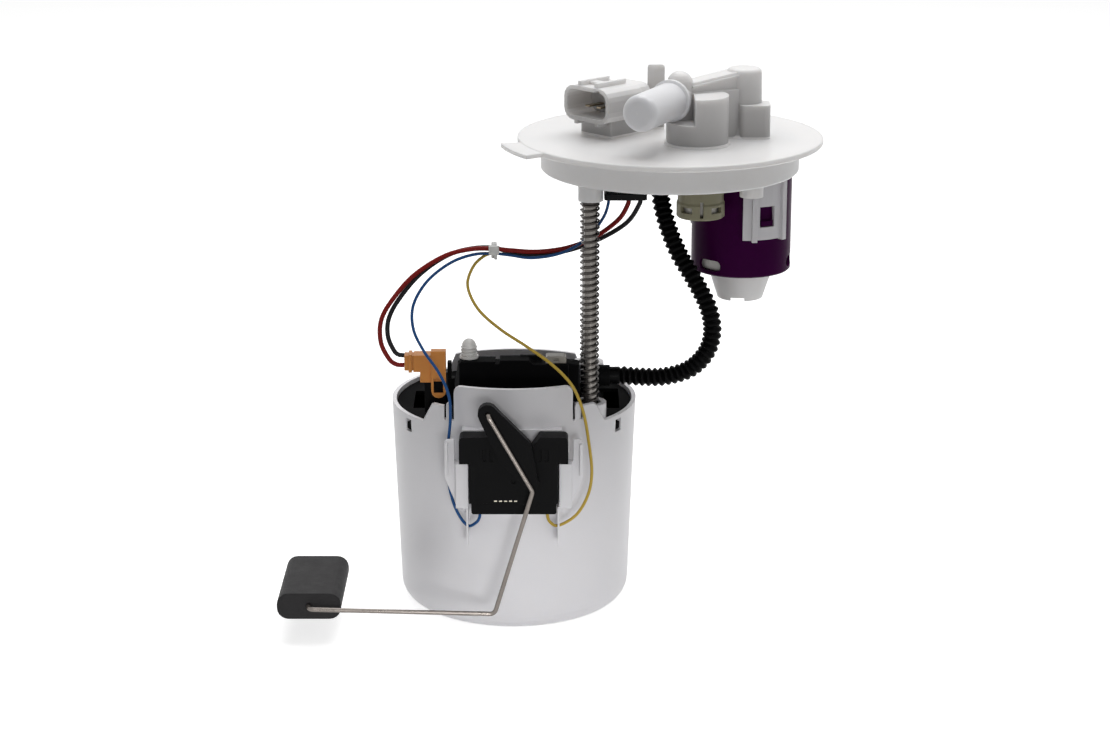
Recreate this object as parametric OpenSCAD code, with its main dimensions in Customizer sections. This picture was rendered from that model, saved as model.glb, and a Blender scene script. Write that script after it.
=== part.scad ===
// In-tank fuel delivery module: a moulded head that seals on the tank top, two sprung guide rods,
// and an off-centre reservoir bucket with the pump, its cover and the level sender.
// The origin is the centre of the head's seat on the tank, +Z up; -Y is the level sender's side.

/* [Overall] */
// Sideways distance from the head's centre to the reservoir's axis
head_offset = 76.5; // [74:0.5:80]
// Height of the head's seat above the reservoir's foot, rods fully drawn out
seat_height = 234; // [226:1:242]

/* [Head] */
// Radius of the head disc
disc_r = 74.4; // [72:0.2:80]
// Thickness of the head disc at its rim
disc_t = 2.9; // [2.2:0.1:4]
// Outer radius of the spigot that drops into the tank's opening
skirt_r = 63; // [62:0.2:66]
// Wall of that spigot
skirt_wall = 2.5; // [1.6:0.1:2.8]
// Depth of the spigot below the seat
skirt_depth = 13.1; // [10:0.1:16]
// Step from the seat up to the disc's underside inside the spigot
deck_step = 0.6; // [0.3:0.1:1]
// Reach of the orientation ear from the disc's centre
ear_reach = 84; // [80:1:92]
// Half of the ear's angle
ear_half_angle = 11; // [5:1:12]
// Direction of the ear
ear_angle = 203; // [190:1:220]

/* [Fuel outlet] */
// Height of the outlet's axis above the seat
outlet_z = 24.4; // [22:0.2:27]
// Direction of the outlet
outlet_angle = -115.7; // [-125:0.5:-105]
// Radius of the outlet spigot
spigot_r = 3.95; // [3.5:0.05:4.6]
// Length of the spigot from the post's axis
spigot_length = 40; // [34:1:44]
// Outer radius of the protective cap
cap_r = 8.8; // [8.2:0.1:9.6]
// Wall of the protective cap
cap_wall = 1.7; // [1.2:0.1:2.2]
// Distance from the post's axis to the cap's closed end
cap_reach = 49; // [47:0.5:53]

/* [Electrical socket] */
// Width of the socket's shroud
socket_w = 30; // [28:0.5:34]
// Height of the socket's shroud
socket_h = 17; // [15:0.5:19]
// Depth of the shroud from its mouth
socket_depth = 24; // [20:0.5:28]
// Wall of the shroud
socket_wall = 2; // [1.4:0.1:2.4]
// Height of the socket's axis above the seat
socket_z = 19.4; // [18:0.2:22]
// Direction in which the socket's mouth looks
socket_angle = -135; // [-150:1:-120]
// Width of one blade pin
blade_w = 2.8; // [2:0.1:3]
// Thickness of one blade pin
blade_t = 0.8; // [0.6:0.1:1]
// Spacing of the blade pins
blade_pitch = 7.5; // [5:0.1:7.6]
// Depth of the socket's floor below its mouth
socket_floor = 17; // [14:0.5:19]

/* [Guide rods and springs] */
// Diameter of a guide rod
rod_d = 6.35; // [5.8:0.05:6.6]
// Distance between the two rods
rod_spread = 70; // [66:0.5:72]
// Distance of the rods' plane from the head's centre
rod_setback = 39; // [37.5:0.5:40]
// Diameter of the head's boss round each rod
boss_d = 12; // [11:0.5:13]
// Length of that boss below the seat
boss_length = 21.7; // [19:0.1:24]
// Running clearance of a rod in its sleeve
rod_clearance = 0.06; // [0.03:0.01:0.1]
// Wire diameter of a spring
spring_wire = 1.1; // [0.9:0.05:1.2]
// Outer diameter of a spring
spring_od = 9; // [8.8:0.1:9.4]
// Number of working coils in a spring
spring_coils = 34; // [28:1:36]

/* [Reservoir bucket] */
// Outer radius of the bucket at its rim
rim_r = 61; // [60:0.2:62]
// Outer radius of the bucket at its foot
foot_r = 57.5; // [56:0.2:58.5]
// Height of the rim
rim_z = 104.5; // [102:0.5:108]
// Height of the tall wall in front
front_wall_z = 126; // [122:0.5:128]
// Wall of the bucket
bucket_wall = 2.2; // [1.6:0.1:2.6]
// Radius of the rounding between wall and foot
foot_fillet = 10; // [6:0.5:12]
// Thickness of the floor
floor_t = 2.5; // [2:0.1:3]
// Height of the foot ring that holds the floor off the tank
foot_ring_h = 2; // [1:0.5:3]

/* [Pump] */
// Outer radius of the pump's steel shell
pump_r = 19; // [17.5:0.5:19.5]
// Length of the shell
pump_length = 76; // [70:1:80]
// Wall of the shell
pump_wall = 1.2; // [0.8:0.1:1.6]
// Radius of the armature's shaft
shaft_r = 1.6; // [1.2:0.1:2]
// Radial thickness of the field magnets
magnet_t = 3.6; // [3:0.1:4]
// Radial air gap between armature and magnets
air_gap = 0.5; // [0.3:0.1:0.8]

/* [Pump cover] */
// Height of the cover's raised front above the foot
cover_z = 133; // [131:0.5:135]
// Height of the cover's hood over the pump
hood_z = 114.5; // [113.5:0.5:117]
// Height of the cover's deck under the bucket's rim
deck_top = 102.5; // [101.5:0.1:102.8]
// Depth of the skirt that hangs from the deck inside the bucket
cover_skirt = 21; // [14:0.5:23]
// Wall of the cover
cover_wall = 2; // [1.5:0.1:2.5]
// Gap between the cover and the bucket's wall
cover_gap = 0.4; // [0.3:0.05:0.6]

/* [Fill-limit vent valve] */
// Radius of the valve's can
can_r = 24.4; // [23:0.1:24.6]
// Depth of the can's bottom below the seat
can_bottom = 63; // [58:0.5:66]
// Length of the white nozzle under the can
nozzle_depth = 14.8; // [12:0.2:16]
// Wall of the can
can_wall = 1.5; // [1.2:0.1:2]
// Distance of the can's axis from the head's centre
can_x = 35.6; // [34.6:0.2:35.8]
// Rise of the float inside the can
can_float_lift = 5; // [3:0.5:6]

/* [Grade vent valve] */
// Radius of the small valve's can
grade_r = 11.5; // [10:0.1:11.7]
// Depth of the small can's bottom below the seat
grade_bottom = 30.1; // [27:0.5:33]
// Wall of the small can
grade_wall = 1.2; // [1:0.1:1.6]
// Rise of the float inside the small can
grade_float_lift = 4; // [2:0.5:5]

/* [Level sender] */
// Height of the arm's pivot above the reservoir's foot
pivot_z = 100; // [98:0.5:102]
// Diameter of the float arm's wire
arm_wire_d = 2.2; // [1.8:0.1:2.4]
// Radius of the wire's bends
arm_bend_r = 3; // [2.5:0.5:4]
// Length of the float along its bore
float_length = 52; // [46:1:54]
// Width of the float
float_w = 31; // [28:0.5:34]
// Height of the float
float_h = 13; // [12:0.5:15]
// Clearance of the float on its wire
float_clearance = 0.06; // [0.04:0.01:0.1]

/* [Leads and hose] */
// Outer diameter of the corrugated supply hose
hose_d = 9.3; // [8.6:0.1:9.6]
// Diameter of a power lead
power_lead_d = 2.3; // [2:0.1:2.5]
// Diameter of a signal lead
signal_lead_d = 1.5; // [1.3:0.1:1.7]

/* [Hidden] */
$fn = 64;
eps = 0.01;
slip = 0.05;
seat_gap = 0.2;

// Head
deck_z = disc_t;
skirt_in_r = skirt_r - skirt_wall;
edge_round = 0.7;
rod_r = rod_d / 2;
rod_y = rod_spread / 2;
boss_r = boss_d / 2;
rod_head_z = -1.5;
post_r = 6.3;
post_pos = [3.7, -15];
post_top = 37.2;
tower_r = 14.8;
tower_h = 11;
tower_top = 26.6;
tower_face = 10.2;
tower_pos = [12.2, -21];
dome_r = 8.5;
dome_pos = [can_x, 0];
dome_top = 36.2;
rib_w = 10;
rib_low = 31.8;
rib_high = 36;
rib_ledge = 27;
nipple_r = 4;
nipple_length = 16;
nipple_collar = 1.5;
nipple_z = 20;
hub_r = cap_r - cap_wall - slip;
hub_end = 16;
cap_start = 10;
cap_lip_r = cap_r + 1.3;
socket_pos = [-41, -8];
blade_y = -2.3;
blade_mid = 1.6;
blade_recess = 7;
hose_top = [-5, -15];
hose_boss_z = -6;
plug_size = [19, 12];
plug_pos = [-22.3, -30];
plug_bottom = -21.5;

// Reservoir: everything below is measured from the bucket's foot on its axis
rod_bx = head_offset - rod_setback;
sleeve_z = 104;
sleeve_h = 14;
cup_r = 8;
cup_bore_r = spring_od / 2 + 0.7;
cup_top = sleeve_z + 8;
sleeve_bottom = sleeve_z - sleeve_h;
clip_t = 1.2;
clip_r = 5.4;
groove_r = rod_r - 0.6;
rod_tail = 3.5;
pad_y = 62;
pad_half = 24;
pad_z = [pivot_z - 36, pivot_z + 6];
pump_pos = [-8, 6];
inlet_pos = [24, -8];
floor_top = foot_ring_h + floor_t;
strainer_top = floor_top + 7;
pump_base_z = strainer_top + 10;
pump_base_h = 7;
shell_z = pump_base_z;
shell_top = shell_z + pump_length;
pump_cap_h = 8;
shell_in_r = pump_r - pump_wall;
shaft_end = shell_top + 2;
magnet_out_r = shell_in_r - slip;
magnet_in_r = magnet_out_r - magnet_t;
armature_r = magnet_in_r - air_gap;
impeller_gap = 0.4;
magnet_z = shell_z + 22;
magnet_h = 36;
cover_front = [-26, 27];
front_y = [-38, -29];
hood_x = [-29, 33];
hood_y = [-30, 30];
wedge_end = 32;
hood_under = hood_z - cover_wall;
deck_under = deck_top - cover_wall;
catch_angles = [-147.5, -32, 32, 147.5];
left_bay = [[-50, -30.6], [-15.5, 13.5]];
right_mouth = [[39, 52.5], [-16, 18]];
stub_r = 4;
stub_shift = 8;
elbow_top = 128.5;
hose_end = [47.5, -18, 120.2];
regulator_pos = [21.6, 8];
regulator_neck_r = 7.2;
connector_foot = 122.2;
post_x = [-31.4, -28.4];

// Level sender
pivot_x = 0.8;
housing_front = 72.5;
housing_half = 21.4;
pivot_pin_r = 3;
housing_back = pad_y + 0.3;
holder_gap = 0.4;
holder_t = 5;
holder_back = housing_front + holder_gap;
holder_front = holder_back + holder_t;
arm_r = arm_wire_d / 2;
arm_y = -(holder_front + arm_r + 0.05);
float_pin_r = arm_r + 0.02;
arm_top = [-12.1, 18.6];
arm_knee = [9.1, -19.4];
arm_low = [-9.4, -81.6];
float_pos = [-99.3, -79.3];
holder_tip_r = 4.7;
lead_clip_x = [-22.5, 21.4];
lead_clip_z = -41.6;
float_front = -(holder_front - 3.9);

// Vent valves
can_top = -10;
cage_r = can_r + 0.3;
cage_t = 1.9;
cage_bottom = -43.6;
window_z = [-37.4, -27.3];
cage_angles = [-66.5, 60, 126.5];
vent_float_r = can_r - can_wall - 0.8;
vent_float_bottom = -can_bottom + can_wall + 0.3;
vent_float_top = can_top - can_wall - can_float_lift - 6;
grade_pos = [13.6, -32];
grade_float_r = grade_r - grade_wall - 1;

// Routes of the hose and the leads, measured from the bucket's foot, chosen along the photographed curves
HOSE_ROUTE = [[71.5, -15, 228], [71.5, -15, 218], [72, -15.5, 208], [75, -18, 196], [80.5, -22, 183],
    [88.5, -26, 170], [95, -28, 157], [97, -28, 145], [94, -27, 134], [86, -24, 125],
    [74, -21, 120.5], [62, -19, 119.8], [54, -18, 120.2], [47.5, -18, 120.2]];
RED_ROUTE = [[55.5, -30, 212.5], [55.5, -30, 209.5], [51, -27, 201], [40, -22.5, 191.5], [27, -22, 186],
    [12, -23, 184.1], [-1, -24.6, 185.2], [-9, -24.9, 186], [-20, -25.5, 186], [-33, -27.5, 183],
    [-47.5, -31.5, 174.5], [-58, -34.5, 163], [-63.5, -35.5, 153], [-63.8, -35.5, 142],
    [-60, -35, 133.5], [-56.5, -34.5, 130.6], [-52.8, -34.5, 130.3]];
BLACK_ROUTE = [[61, -30, 212.5], [61, -30, 209.5], [55, -25, 199], [42, -19.8, 189.6], [27, -19.6, 184],
    [12, -20.6, 182], [-1, -22, 183.6], [-9, -22.4, 185.9], [-20, -23, 185.7], [-32, -25, 182.5],
    [-45, -28.5, 174], [-55, -31.5, 162.5], [-60, -32, 153], [-60.6, -31.6, 144],
    [-58, -31.2, 137], [-55.8, -31, 134.6], [-52.8, -31, 134.2]];
BLUE_ROUTE = [[46, -30, 212.5], [46, -30, 209.5], [43.6, -27.8, 202], [36, -26, 191.5], [24, -25.2, 184.2],
    [10, -24.8, 181.5], [-1, -24.4, 182.7], [-9, -24.6, 183.6], [-19, -26, 183.4], [-30, -29, 180],
    [-41, -33, 172], [-47.6, -38, 161.5], [-47.6, -43, 151], [-42.5, -48.5, 141.5],
    [-35, -54, 132], [-30.3, -58, 122], [-29.6, -59.8, 111], [-30.6, -60.6, 100],
    [-31, -61, 88], [-30.2, -61.2, 76], [-26.8, -62.6, 65], [-21.7, -64.5, 58.4],
    [-17.4, -66.2, 60.6], [-15.8, -67, 63.6], [-15.6, -67, 66.2]];
YELLOW_ROUTE = [[-9, -22.7, 183.6], [-14, -23.7, 182], [-19.2, -27.6, 177.5], [-21.6, -33, 169.5],
    [-16.5, -40, 160],
    [-6, -45.5, 151.6], [7, -51, 144.3], [19, -56.5, 137], [28.4, -60.5, 128], [33.8, -61.5, 115.5],
    [36.6, -60.5, 100], [38.2, -60, 84], [36.3, -61, 72.5], [30.6, -62.6, 63], [22.2, -64.5, 58.4],
    [18.3, -66.2, 60.6], [17, -67, 63.6], [16.9, -67, 66.2]];
CORD_SIDES = 8;

function arc(cx, cy, r, a0, a1, n) =
    [for (i = [0:n]) [cx + r * cos(a0 + (a1 - a0) * i / n), cy + r * sin(a0 + (a1 - a0) * i / n)]];

// Rectangle with rounded corners, centred
function rounded(w, h, r, n = 4) = concat(
    arc(w / 2 - r, h / 2 - r, r, 0, 90, n), arc(r - w / 2, h / 2 - r, r, 90, 180, n),
    arc(r - w / 2, r - h / 2, r, 180, 270, n), arc(w / 2 - r, r - h / 2, r, 270, 360, n));

// Ring sector between two angles
function sector(r0, r1, a0, a1, n) = concat(arc(0, 0, r1, a0, a1, n), arc(0, 0, r0, a1, a0, n));

function unit(v) = v / norm(v);

// Side directions of the rings, carried along the route without a twist
function carried(tangents, i, u) = i == len(tangents) ? []
    : let (v = unit(u - tangents[i] * (u * tangents[i]))) concat([v], carried(tangents, i + 1, v));

// Points of a path with its corners rounded to one radius
function bent_route(points, bend, n = 5) = [for (i = [0:len(points) - 1])
    each i == 0 || i == len(points) - 1 ? [points[i]] : let (
        a = unit(points[i] - points[i - 1]), b = unit(points[i + 1] - points[i]),
        turn = acos(a * b), trim = bend * tan(turn / 2), inward = unit(b - a * (a * b)),
        start = points[i] - a * trim, centre = start + inward * bend)
        [for (k = [0:n]) centre - inward * bend * cos(turn * k / n) + a * bend * sin(turn * k / n)]];

module at_bucket() {
    translate([-head_offset, 0, -seat_height]) children();
}

// Frame of the level sender: the pivot's axis, still on the bucket's middle plane in Y
module at_pivot() {
    at_bucket() translate([pivot_x, 0, pivot_z]) children();
}

module block(x, y, z) {
    translate([x[0], y[0], z[0]]) cube([x[1] - x[0], y[1] - y[0], z[1] - z[0]]);
}

// Solid tube through the route's points, with square ends
module swept_tube(route, d, facets = CORD_SIDES) {
    last = len(route) - 1;
    tangents = [for (i = [0:last]) unit(route[min(i + 1, last)] - route[max(i - 1, 0)])];
    guide = abs(tangents[0][1]) < 0.9 ? [0, 1, 0] : [1, 0, 0];
    across = carried(tangents, 0, guide);
    rings = [for (i = [0:last], k = [0:facets - 1])
        let (a = 360 * k / facets, v = cross(tangents[i], across[i]))
        route[i] + d / 2 * (cos(a) * across[i] + sin(a) * v)];
    sides = [for (i = [0:last - 1], k = [0:facets - 1])
        let (a = i * facets + k, b = i * facets + (k + 1) % facets)
        each [[a, b + facets, b], [a, a + facets, b + facets]]];
    start = [[for (k = [0:facets - 1]) k]];
    finish = [[for (k = [facets - 1:-1:0]) last * facets + k]];
    polyhedron(rings, concat(sides, start, finish), convexity = 10);
}

// Upright post with a rounded top
module domed_post(r, h) {
    rotate_extrude() polygon(concat([[0, 0], [r, 0]], arc(0, h - r * 0.7, r, 0, 85, 6),
        [[0, h + r * 0.3]]));
}

module flange() color([0.86, 0.86, 0.84]) {
    difference() {
        union() {
            head_disc();
            head_spigot();
            ear();
            outlet_tower();
            vapour_dome();
            socket_shroud();
            locating_tab();
            for (s = [-1, 1]) translate([-rod_setback, s * rod_y, -boss_length])
                cylinder(r = boss_r, h = boss_length + deck_step + eps);
            translate([hose_top[0], hose_top[1], hose_boss_z])
                cylinder(r = 5.6, h = deck_step - hose_boss_z + eps);
            translate([37, -43, -18]) cylinder(r = 5.6, h = 18 + deck_step + eps);
        }
        for (s = [-1, 1]) translate([-rod_setback, s * rod_y, -boss_length - 1])
            cylinder(r = rod_r + slip, h = boss_length + 1 + rod_head_z + seat_gap);
        socket_cavity();
        // Fuel passage from the hose to the spigot
        translate([post_pos[0], post_pos[1], outlet_z]) rotate([0, 90, outlet_angle])
            cylinder(r = spigot_r - 1.2, h = spigot_length + 1);
    }
}

module head_disc() {
    rotate_extrude() polygon(concat([[0, deck_step], [skirt_in_r + 1, deck_step], [skirt_in_r + 1, 0]],
        [[disc_r - edge_round, 0], [disc_r, edge_round]],
        arc(disc_r - edge_round, disc_t - edge_round, edge_round, 0, 90, 3), [[0, disc_t]]));
}

module head_spigot() {
    rotate_extrude() polygon([[skirt_in_r, -skirt_depth], [skirt_r - edge_round, -skirt_depth],
        [skirt_r, edge_round - skirt_depth], [skirt_r, 0], [skirt_r - eps, deck_step + eps],
            [skirt_in_r, deck_step + eps]]);
    // Stiffening ribs from each rod boss to the spigot
    for (s = [-1, 1]) translate([-rod_setback, s * rod_y, -skirt_depth + 2]) rotate([0, 0, s * 138])
        translate([0, -0.8, 0]) cube([skirt_in_r + 0.8 - norm([rod_setback, rod_y]), 1.6,
            skirt_depth - 2 + deck_step + eps]);
}

module ear() {
    translate([0, 0, deck_step]) linear_extrude(disc_t - deck_step - 0.4)
        polygon(sector(disc_r - 4, ear_reach, ear_angle - ear_half_angle, ear_angle + ear_half_angle, 6));
}

module outlet_tower() {
    translate([tower_pos[0], tower_pos[1], deck_z - eps]) {
        cylinder(r = tower_r, h = tower_h);
        cylinder(r = tower_r + 1, h = 1.2);
        // Tall half beside the outlet's cap
        difference() {
            cylinder(r = tower_r, h = tower_top - deck_z);
            translate([-40 + tower_face - tower_pos[0], -20, 1]) cube([40, 40, 40]);
        }
    }
    translate([post_pos[0], post_pos[1], deck_z - eps]) domed_post(post_r, post_top - deck_z - 1.9);
    // Box-section rib between the outlet post and the vapour dome
    span = dome_pos - post_pos;
    translate([post_pos[0], post_pos[1], deck_z - eps]) rotate([0, 0, atan2(span[1], span[0])]) {
        rotate([90, 0, 0]) translate([0, 0, -rib_w / 2]) linear_extrude(rib_w)
            polygon([[0, 0], [norm(span), 0], [norm(span), rib_high - deck_z], [post_r, rib_low - deck_z],
                [0, rib_low - deck_z]]);
        translate([0, -rib_w / 2 - 1.2, 0]) cube([norm(span) - 6, rib_w + 2.4, rib_ledge - deck_z]);
        rotate([90, 0, 0]) translate([0, 0, rib_w / 2 - eps]) linear_extrude(1)
            polygon([[4, rib_low - deck_z - 2.6], [norm(span) - 4, rib_high - deck_z - 2.8],
                [norm(span) - 4, rib_high - deck_z - 1.8], [4, rib_low - deck_z - 1.6]]);
    }
    // Spigot with the hub that holds the cap
    translate([post_pos[0], post_pos[1], outlet_z]) rotate([0, 90, outlet_angle]) {
        cylinder(r = hub_r, h = hub_end);
        cylinder(r = spigot_r, h = spigot_length);
        translate([0, 0, spigot_length - 9]) rotate_extrude()
            polygon([[spigot_r - 0.5, 0], [spigot_r + 1, 1], [spigot_r + 1, 2], [spigot_r - 0.5, 3]]);
    }
}

module vapour_dome() {
    translate([dome_pos[0], dome_pos[1], deck_z - eps]) {
        rotate_extrude() polygon(concat([[0, 0], [dome_r + 3, 0], [dome_r + 1.4, 1.6], [dome_r + 0.6, 5]],
            arc(dome_r - 2, dome_top - deck_z - 2, 2, 0, 90, 4), [[0, dome_top - deck_z]]));
    }
    translate([dome_pos[0], dome_pos[1], nipple_z]) rotate([-90, 0, 0]) {
        cylinder(r = nipple_r, h = dome_r + nipple_length);
        cylinder(r = nipple_r + 1.6, h = dome_r + nipple_collar);
    }
    // Stepped box beside the dome
    translate([40.5, -4, deck_z - eps]) linear_extrude(16.5) polygon(rounded(15, 15, 3));
}

module locating_tab() {
    translate([-6.5, 15, deck_z - eps]) {
        rotate([90, 0, 0]) translate([0, 0, -1.1]) linear_extrude(2.2)
            polygon(concat([[-4.2, 0], [4.2, 0]], arc(2.7, 30.6, 1.5, 0, 90, 4),
                arc(-2.7, 30.6, 1.5, 90, 180, 4)));
        translate([-0.9, 0, 0]) cube([1.8, 6, 22]);
    }
}

// Socket frame: X across the mouth, Y up, Z out of the mouth
module in_socket() {
    translate([socket_pos[0], socket_pos[1], socket_z]) rotate([0, 0, socket_angle]) rotate([90, 0, 90])
        translate([0, 0, -socket_depth]) children();
}

module socket_shroud() {
    in_socket() {
        linear_extrude(socket_depth) polygon(rounded(socket_w, socket_h, 6));
        translate([0, 0, -9]) linear_extrude(9 + eps) polygon(rounded(socket_w - 6, socket_h - 1, 6));
        translate([0, 0, -13]) linear_extrude(4 + eps) polygon(rounded(socket_w - 14, socket_h - 4, 5));
        // Latch rails on top and key ribs underneath
        for (x = [-6.5, 4.5]) translate([x, socket_h / 2 - eps, 3]) cube([2, 2.2, socket_depth - 4]);
        translate([-6.5, socket_h / 2 - eps, 12]) cube([13, 1.4, 5]);
        for (x = [-7, 7]) translate([x - 1, -socket_h / 2 - 1.6, 6]) cube([2, 1.8, socket_depth - 6]);
    }
    // Pedestal down to the disc
    translate([socket_pos[0], socket_pos[1], deck_z - eps]) rotate([0, 0, socket_angle])
        translate([-socket_depth - 9, -socket_w / 2 + 5, 0])
        cube([socket_depth + 2, socket_w - 10, socket_z - socket_h / 2 - deck_z + 1]);
}

// Room of the shroud with a keyway in its roof, and the slots of the blade pins
module socket_cavity() {
    floor_z = socket_depth - socket_floor;
    in_socket() translate([0, 0, floor_z]) linear_extrude(socket_floor + 1)
        polygon(rounded(socket_w - 2 * socket_wall, socket_h - 2 * socket_wall, 6 - socket_wall));
    in_socket() translate([5.8, socket_h / 2 - socket_wall - 1, floor_z + 5]) cube([3, 2, socket_floor]);
    in_socket() for (i = [0:2]) translate([blade_mid + (i - 1) * blade_pitch - blade_w / 2 - slip,
        blade_y - blade_t / 2 - slip, -2])
        cube([blade_w + 2 * slip, blade_t + 2 * slip, floor_z + 4]);
}

module socket_pins() color([0.25, 0.22, 0.2]) {
    in_socket() for (i = [0:2]) translate([blade_mid + (i - 1) * blade_pitch - blade_w / 2,
        blade_y - blade_t / 2, -2 + slip])
        cube([blade_w, blade_t, socket_depth - blade_recess + 2]);
}

module outlet_cap() color([0.88, 0.88, 0.88]) {
    bore_r = cap_r - cap_wall;
    translate([post_pos[0], post_pos[1], outlet_z]) rotate([0, 90, outlet_angle]) rotate_extrude()
        polygon(concat([[0, cap_reach - cap_wall], [bore_r - 2, cap_reach - cap_wall],
            [bore_r, cap_reach - cap_wall - 2],
            [bore_r, cap_start], [cap_lip_r, cap_start], [cap_lip_r, cap_start + 1.8],
                [cap_r, cap_start + 2.6]],
            arc(cap_r - 3.4, cap_reach - 3.4, 3.4, 0, 80, 5), [[0, cap_reach]]));
}

module wire_plug() color([0.1, 0.1, 0.1]) {
    translate([plug_pos[0], plug_pos[1], plug_bottom]) {
        linear_extrude(3) polygon(rounded(plug_size[0] + 1.4, plug_size[1] + 1.4, 2));
        translate([0, 0, 3 - eps]) linear_extrude(deck_step - plug_bottom - 3)
            polygon(rounded(plug_size[0], plug_size[1], 1.6));
    }
}

module guide_rod(y) {
    tail_z = sleeve_bottom - seat_gap - clip_t - rod_tail - seat_height;
    translate([-rod_setback, y, 0]) rotate_extrude()
        polygon([[0, tail_z], [rod_r - 0.8, tail_z], [rod_r, tail_z + 0.8],
        [rod_r, tail_z + rod_tail - 0.1], [groove_r, tail_z + rod_tail - 0.1],
        [groove_r, tail_z + rod_tail + clip_t + 0.1], [rod_r, tail_z + rod_tail + clip_t + 0.1],
        [rod_r, rod_head_z - 0.6], [rod_r - 0.6, rod_head_z], [0, rod_head_z]]);
}

module rod_front() color([0.62, 0.62, 0.6]) guide_rod(-rod_y);
module rod_rear() color([0.62, 0.62, 0.6]) guide_rod(rod_y);

module rod_clips() color([0.4, 0.4, 0.42]) {
    for (s = [-1, 1]) translate([-rod_setback, s * rod_y, sleeve_bottom - seat_gap - clip_t - seat_height])
        rotate([0, 0, 90 + s * 40]) difference() {
            cylinder(r = clip_r, h = clip_t);
            translate([0, 0, -1]) cylinder(r = groove_r + slip, h = clip_t + 2);
            translate([0, -1.6, -1]) cube([clip_r + 1, 3.2, clip_t + 2]);
        }
}

// Compression spring with closed ends, from the sleeve's cup up to the head's boss
module guide_spring(y) {
    low = sleeve_z - seat_height + slip;
    high = -boss_length - slip;
    steps = 8;
    wire_sides = 5;
    closed_turns = 1.5;
    closed_rise = closed_turns * spring_wire * 1.08;
    turns = spring_coils + 2 * closed_turns;
    count = round(turns * steps);
    mid_r = (spring_od - spring_wire) / 2;
    z0 = low + spring_wire / 2;
    z1 = high - spring_wire / 2;
    function rise(t) = t < closed_turns ? t / closed_turns * closed_rise
        : t > turns - closed_turns ? z1 - z0 - (turns - t) / closed_turns * closed_rise
        : closed_rise + (t - closed_turns) / spring_coils * (z1 - z0 - 2 * closed_rise);
    points = [for (i = [0:count], k = [0:wire_sides - 1])
        let (a = 360 * i / steps, b = 360 * k / wire_sides, r = mid_r + spring_wire / 2 * cos(b))
        [r * cos(a), r * sin(a), z0 + rise(i / steps) + spring_wire / 2 * sin(b)]];
    sides = [for (i = [0:count - 1], k = [0:wire_sides - 1])
        let (a = i * wire_sides + k, b = i * wire_sides + (k + 1) % wire_sides)
        each [[a, b + wire_sides, b], [a, a + wire_sides, b + wire_sides]]];
    start = [[for (k = [0:wire_sides - 1]) k]];
    finish = [[for (k = [wire_sides - 1:-1:0]) count * wire_sides + k]];
    translate([-rod_setback, y, 0]) polyhedron(points, concat(sides, start, finish), convexity = 10);
}

module spring_front() color([0.55, 0.55, 0.52]) guide_spring(-rod_y);
module spring_rear() color([0.55, 0.55, 0.52]) guide_spring(rod_y);

// Cage with three sprung legs that hold the fill-limit valve's can
module vent_cage() color([0.85, 0.85, 0.84]) {
    translate([can_x, 0, 0]) difference() {
        union() {
            for (a = cage_angles) cage_leg(a);
            linear_extrude_between(-8, deck_step, sector(cage_r, cage_r + cage_t, 42, 318, 24));
        }
        // Slanted flank of each leg
        for (a = cage_angles) rotate([0, 0, a]) translate([cage_r - 1, -15.5, cage_bottom])
            rotate([11, 0, 0]) translate([0, -8, -10]) cube([8, 8, 40]);
    }
}

module linear_extrude_between(z0, z1, outline) {
    translate([0, 0, z0]) linear_extrude(z1 - z0) polygon(outline);
}

module cage_leg(a) {
    difference() {
        union() {
            linear_extrude_between(cage_bottom, deck_step,
                sector(cage_r, cage_r + cage_t, a - 26, a + 26, 8));
            for (b = [-14, 20]) linear_extrude_between(cage_bottom - 0.8, deck_step,
                sector(cage_r + 0.4, cage_r + cage_t + 1.6, a + b - 2.6, a + b + 2.6, 1));
        }
        linear_extrude_between(window_z[0], window_z[1], sector(cage_r - 1, cage_r + 4, a - 8, a + 9, 2));
    }
}

module vent_can() color([0.1, 0.02, 0.12]) {
    translate([can_x, 0, 0]) {
        difference() {
            union() {
                rotate_extrude() polygon([[0, -can_bottom], [can_r - 0.8, -can_bottom],
                    [can_r, 0.8 - can_bottom],
                    [can_r, can_top - 1], [can_r - 1, can_top], [5.5, can_top], [5.5, deck_step],
                        [0, deck_step]]);
                // Catches that snap into the cage's windows
                for (a = cage_angles) linear_extrude_between(window_z[0] + 0.4, window_z[0] + 3,
                    sector(can_r - 0.5, cage_r + cage_t - 0.3, a - 6.5, a + 7.5, 3));
            }
            rotate_extrude() polygon([[0, can_wall - can_bottom], [can_r - can_wall, can_wall - can_bottom],
                [can_r - can_wall, can_top - can_wall], [0, can_top - can_wall]]);
            translate([0, 0, can_top - can_wall - 1])
                cylinder(r = 2.5, h = deck_step - can_top + can_wall + 2);
            translate([0, 0, -can_bottom - 1]) cylinder(r = 9, h = can_wall + 2);
            for (a = [-133, -13, 107]) rotate([0, 0, a]) translate([can_r - 4, 0, -58]) rotate([90, 0, 90])
                linear_extrude(8) polygon(rounded(13, 5.4, 2.65));
        }
    }
}

module vent_nozzle() color([0.9, 0.9, 0.88]) {
    translate([can_x, 0, -can_bottom - seat_gap - nozzle_depth]) difference() {
        rotate_extrude() polygon([[9.6, 0], [11.2, 0], [16, nozzle_depth], [14.2, nozzle_depth]]);
        for (a = [20, 140, 260]) rotate([0, 0, a]) translate([0, -3.4, -1]) cube([16, 6.8, 2.7]);
    }
    // Lip that carries the nozzle in the can's outlet
    translate([can_x, 0, -can_bottom - seat_gap - 1.4]) difference() {
        union() {
            cylinder(r = 15, h = 1.4);
            cylinder(r = 9 - slip, h = 1.4 + seat_gap + can_wall - 0.2);
        }
        translate([0, 0, -1]) cylinder(r = 7.4, h = 6);
    }
}

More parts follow.
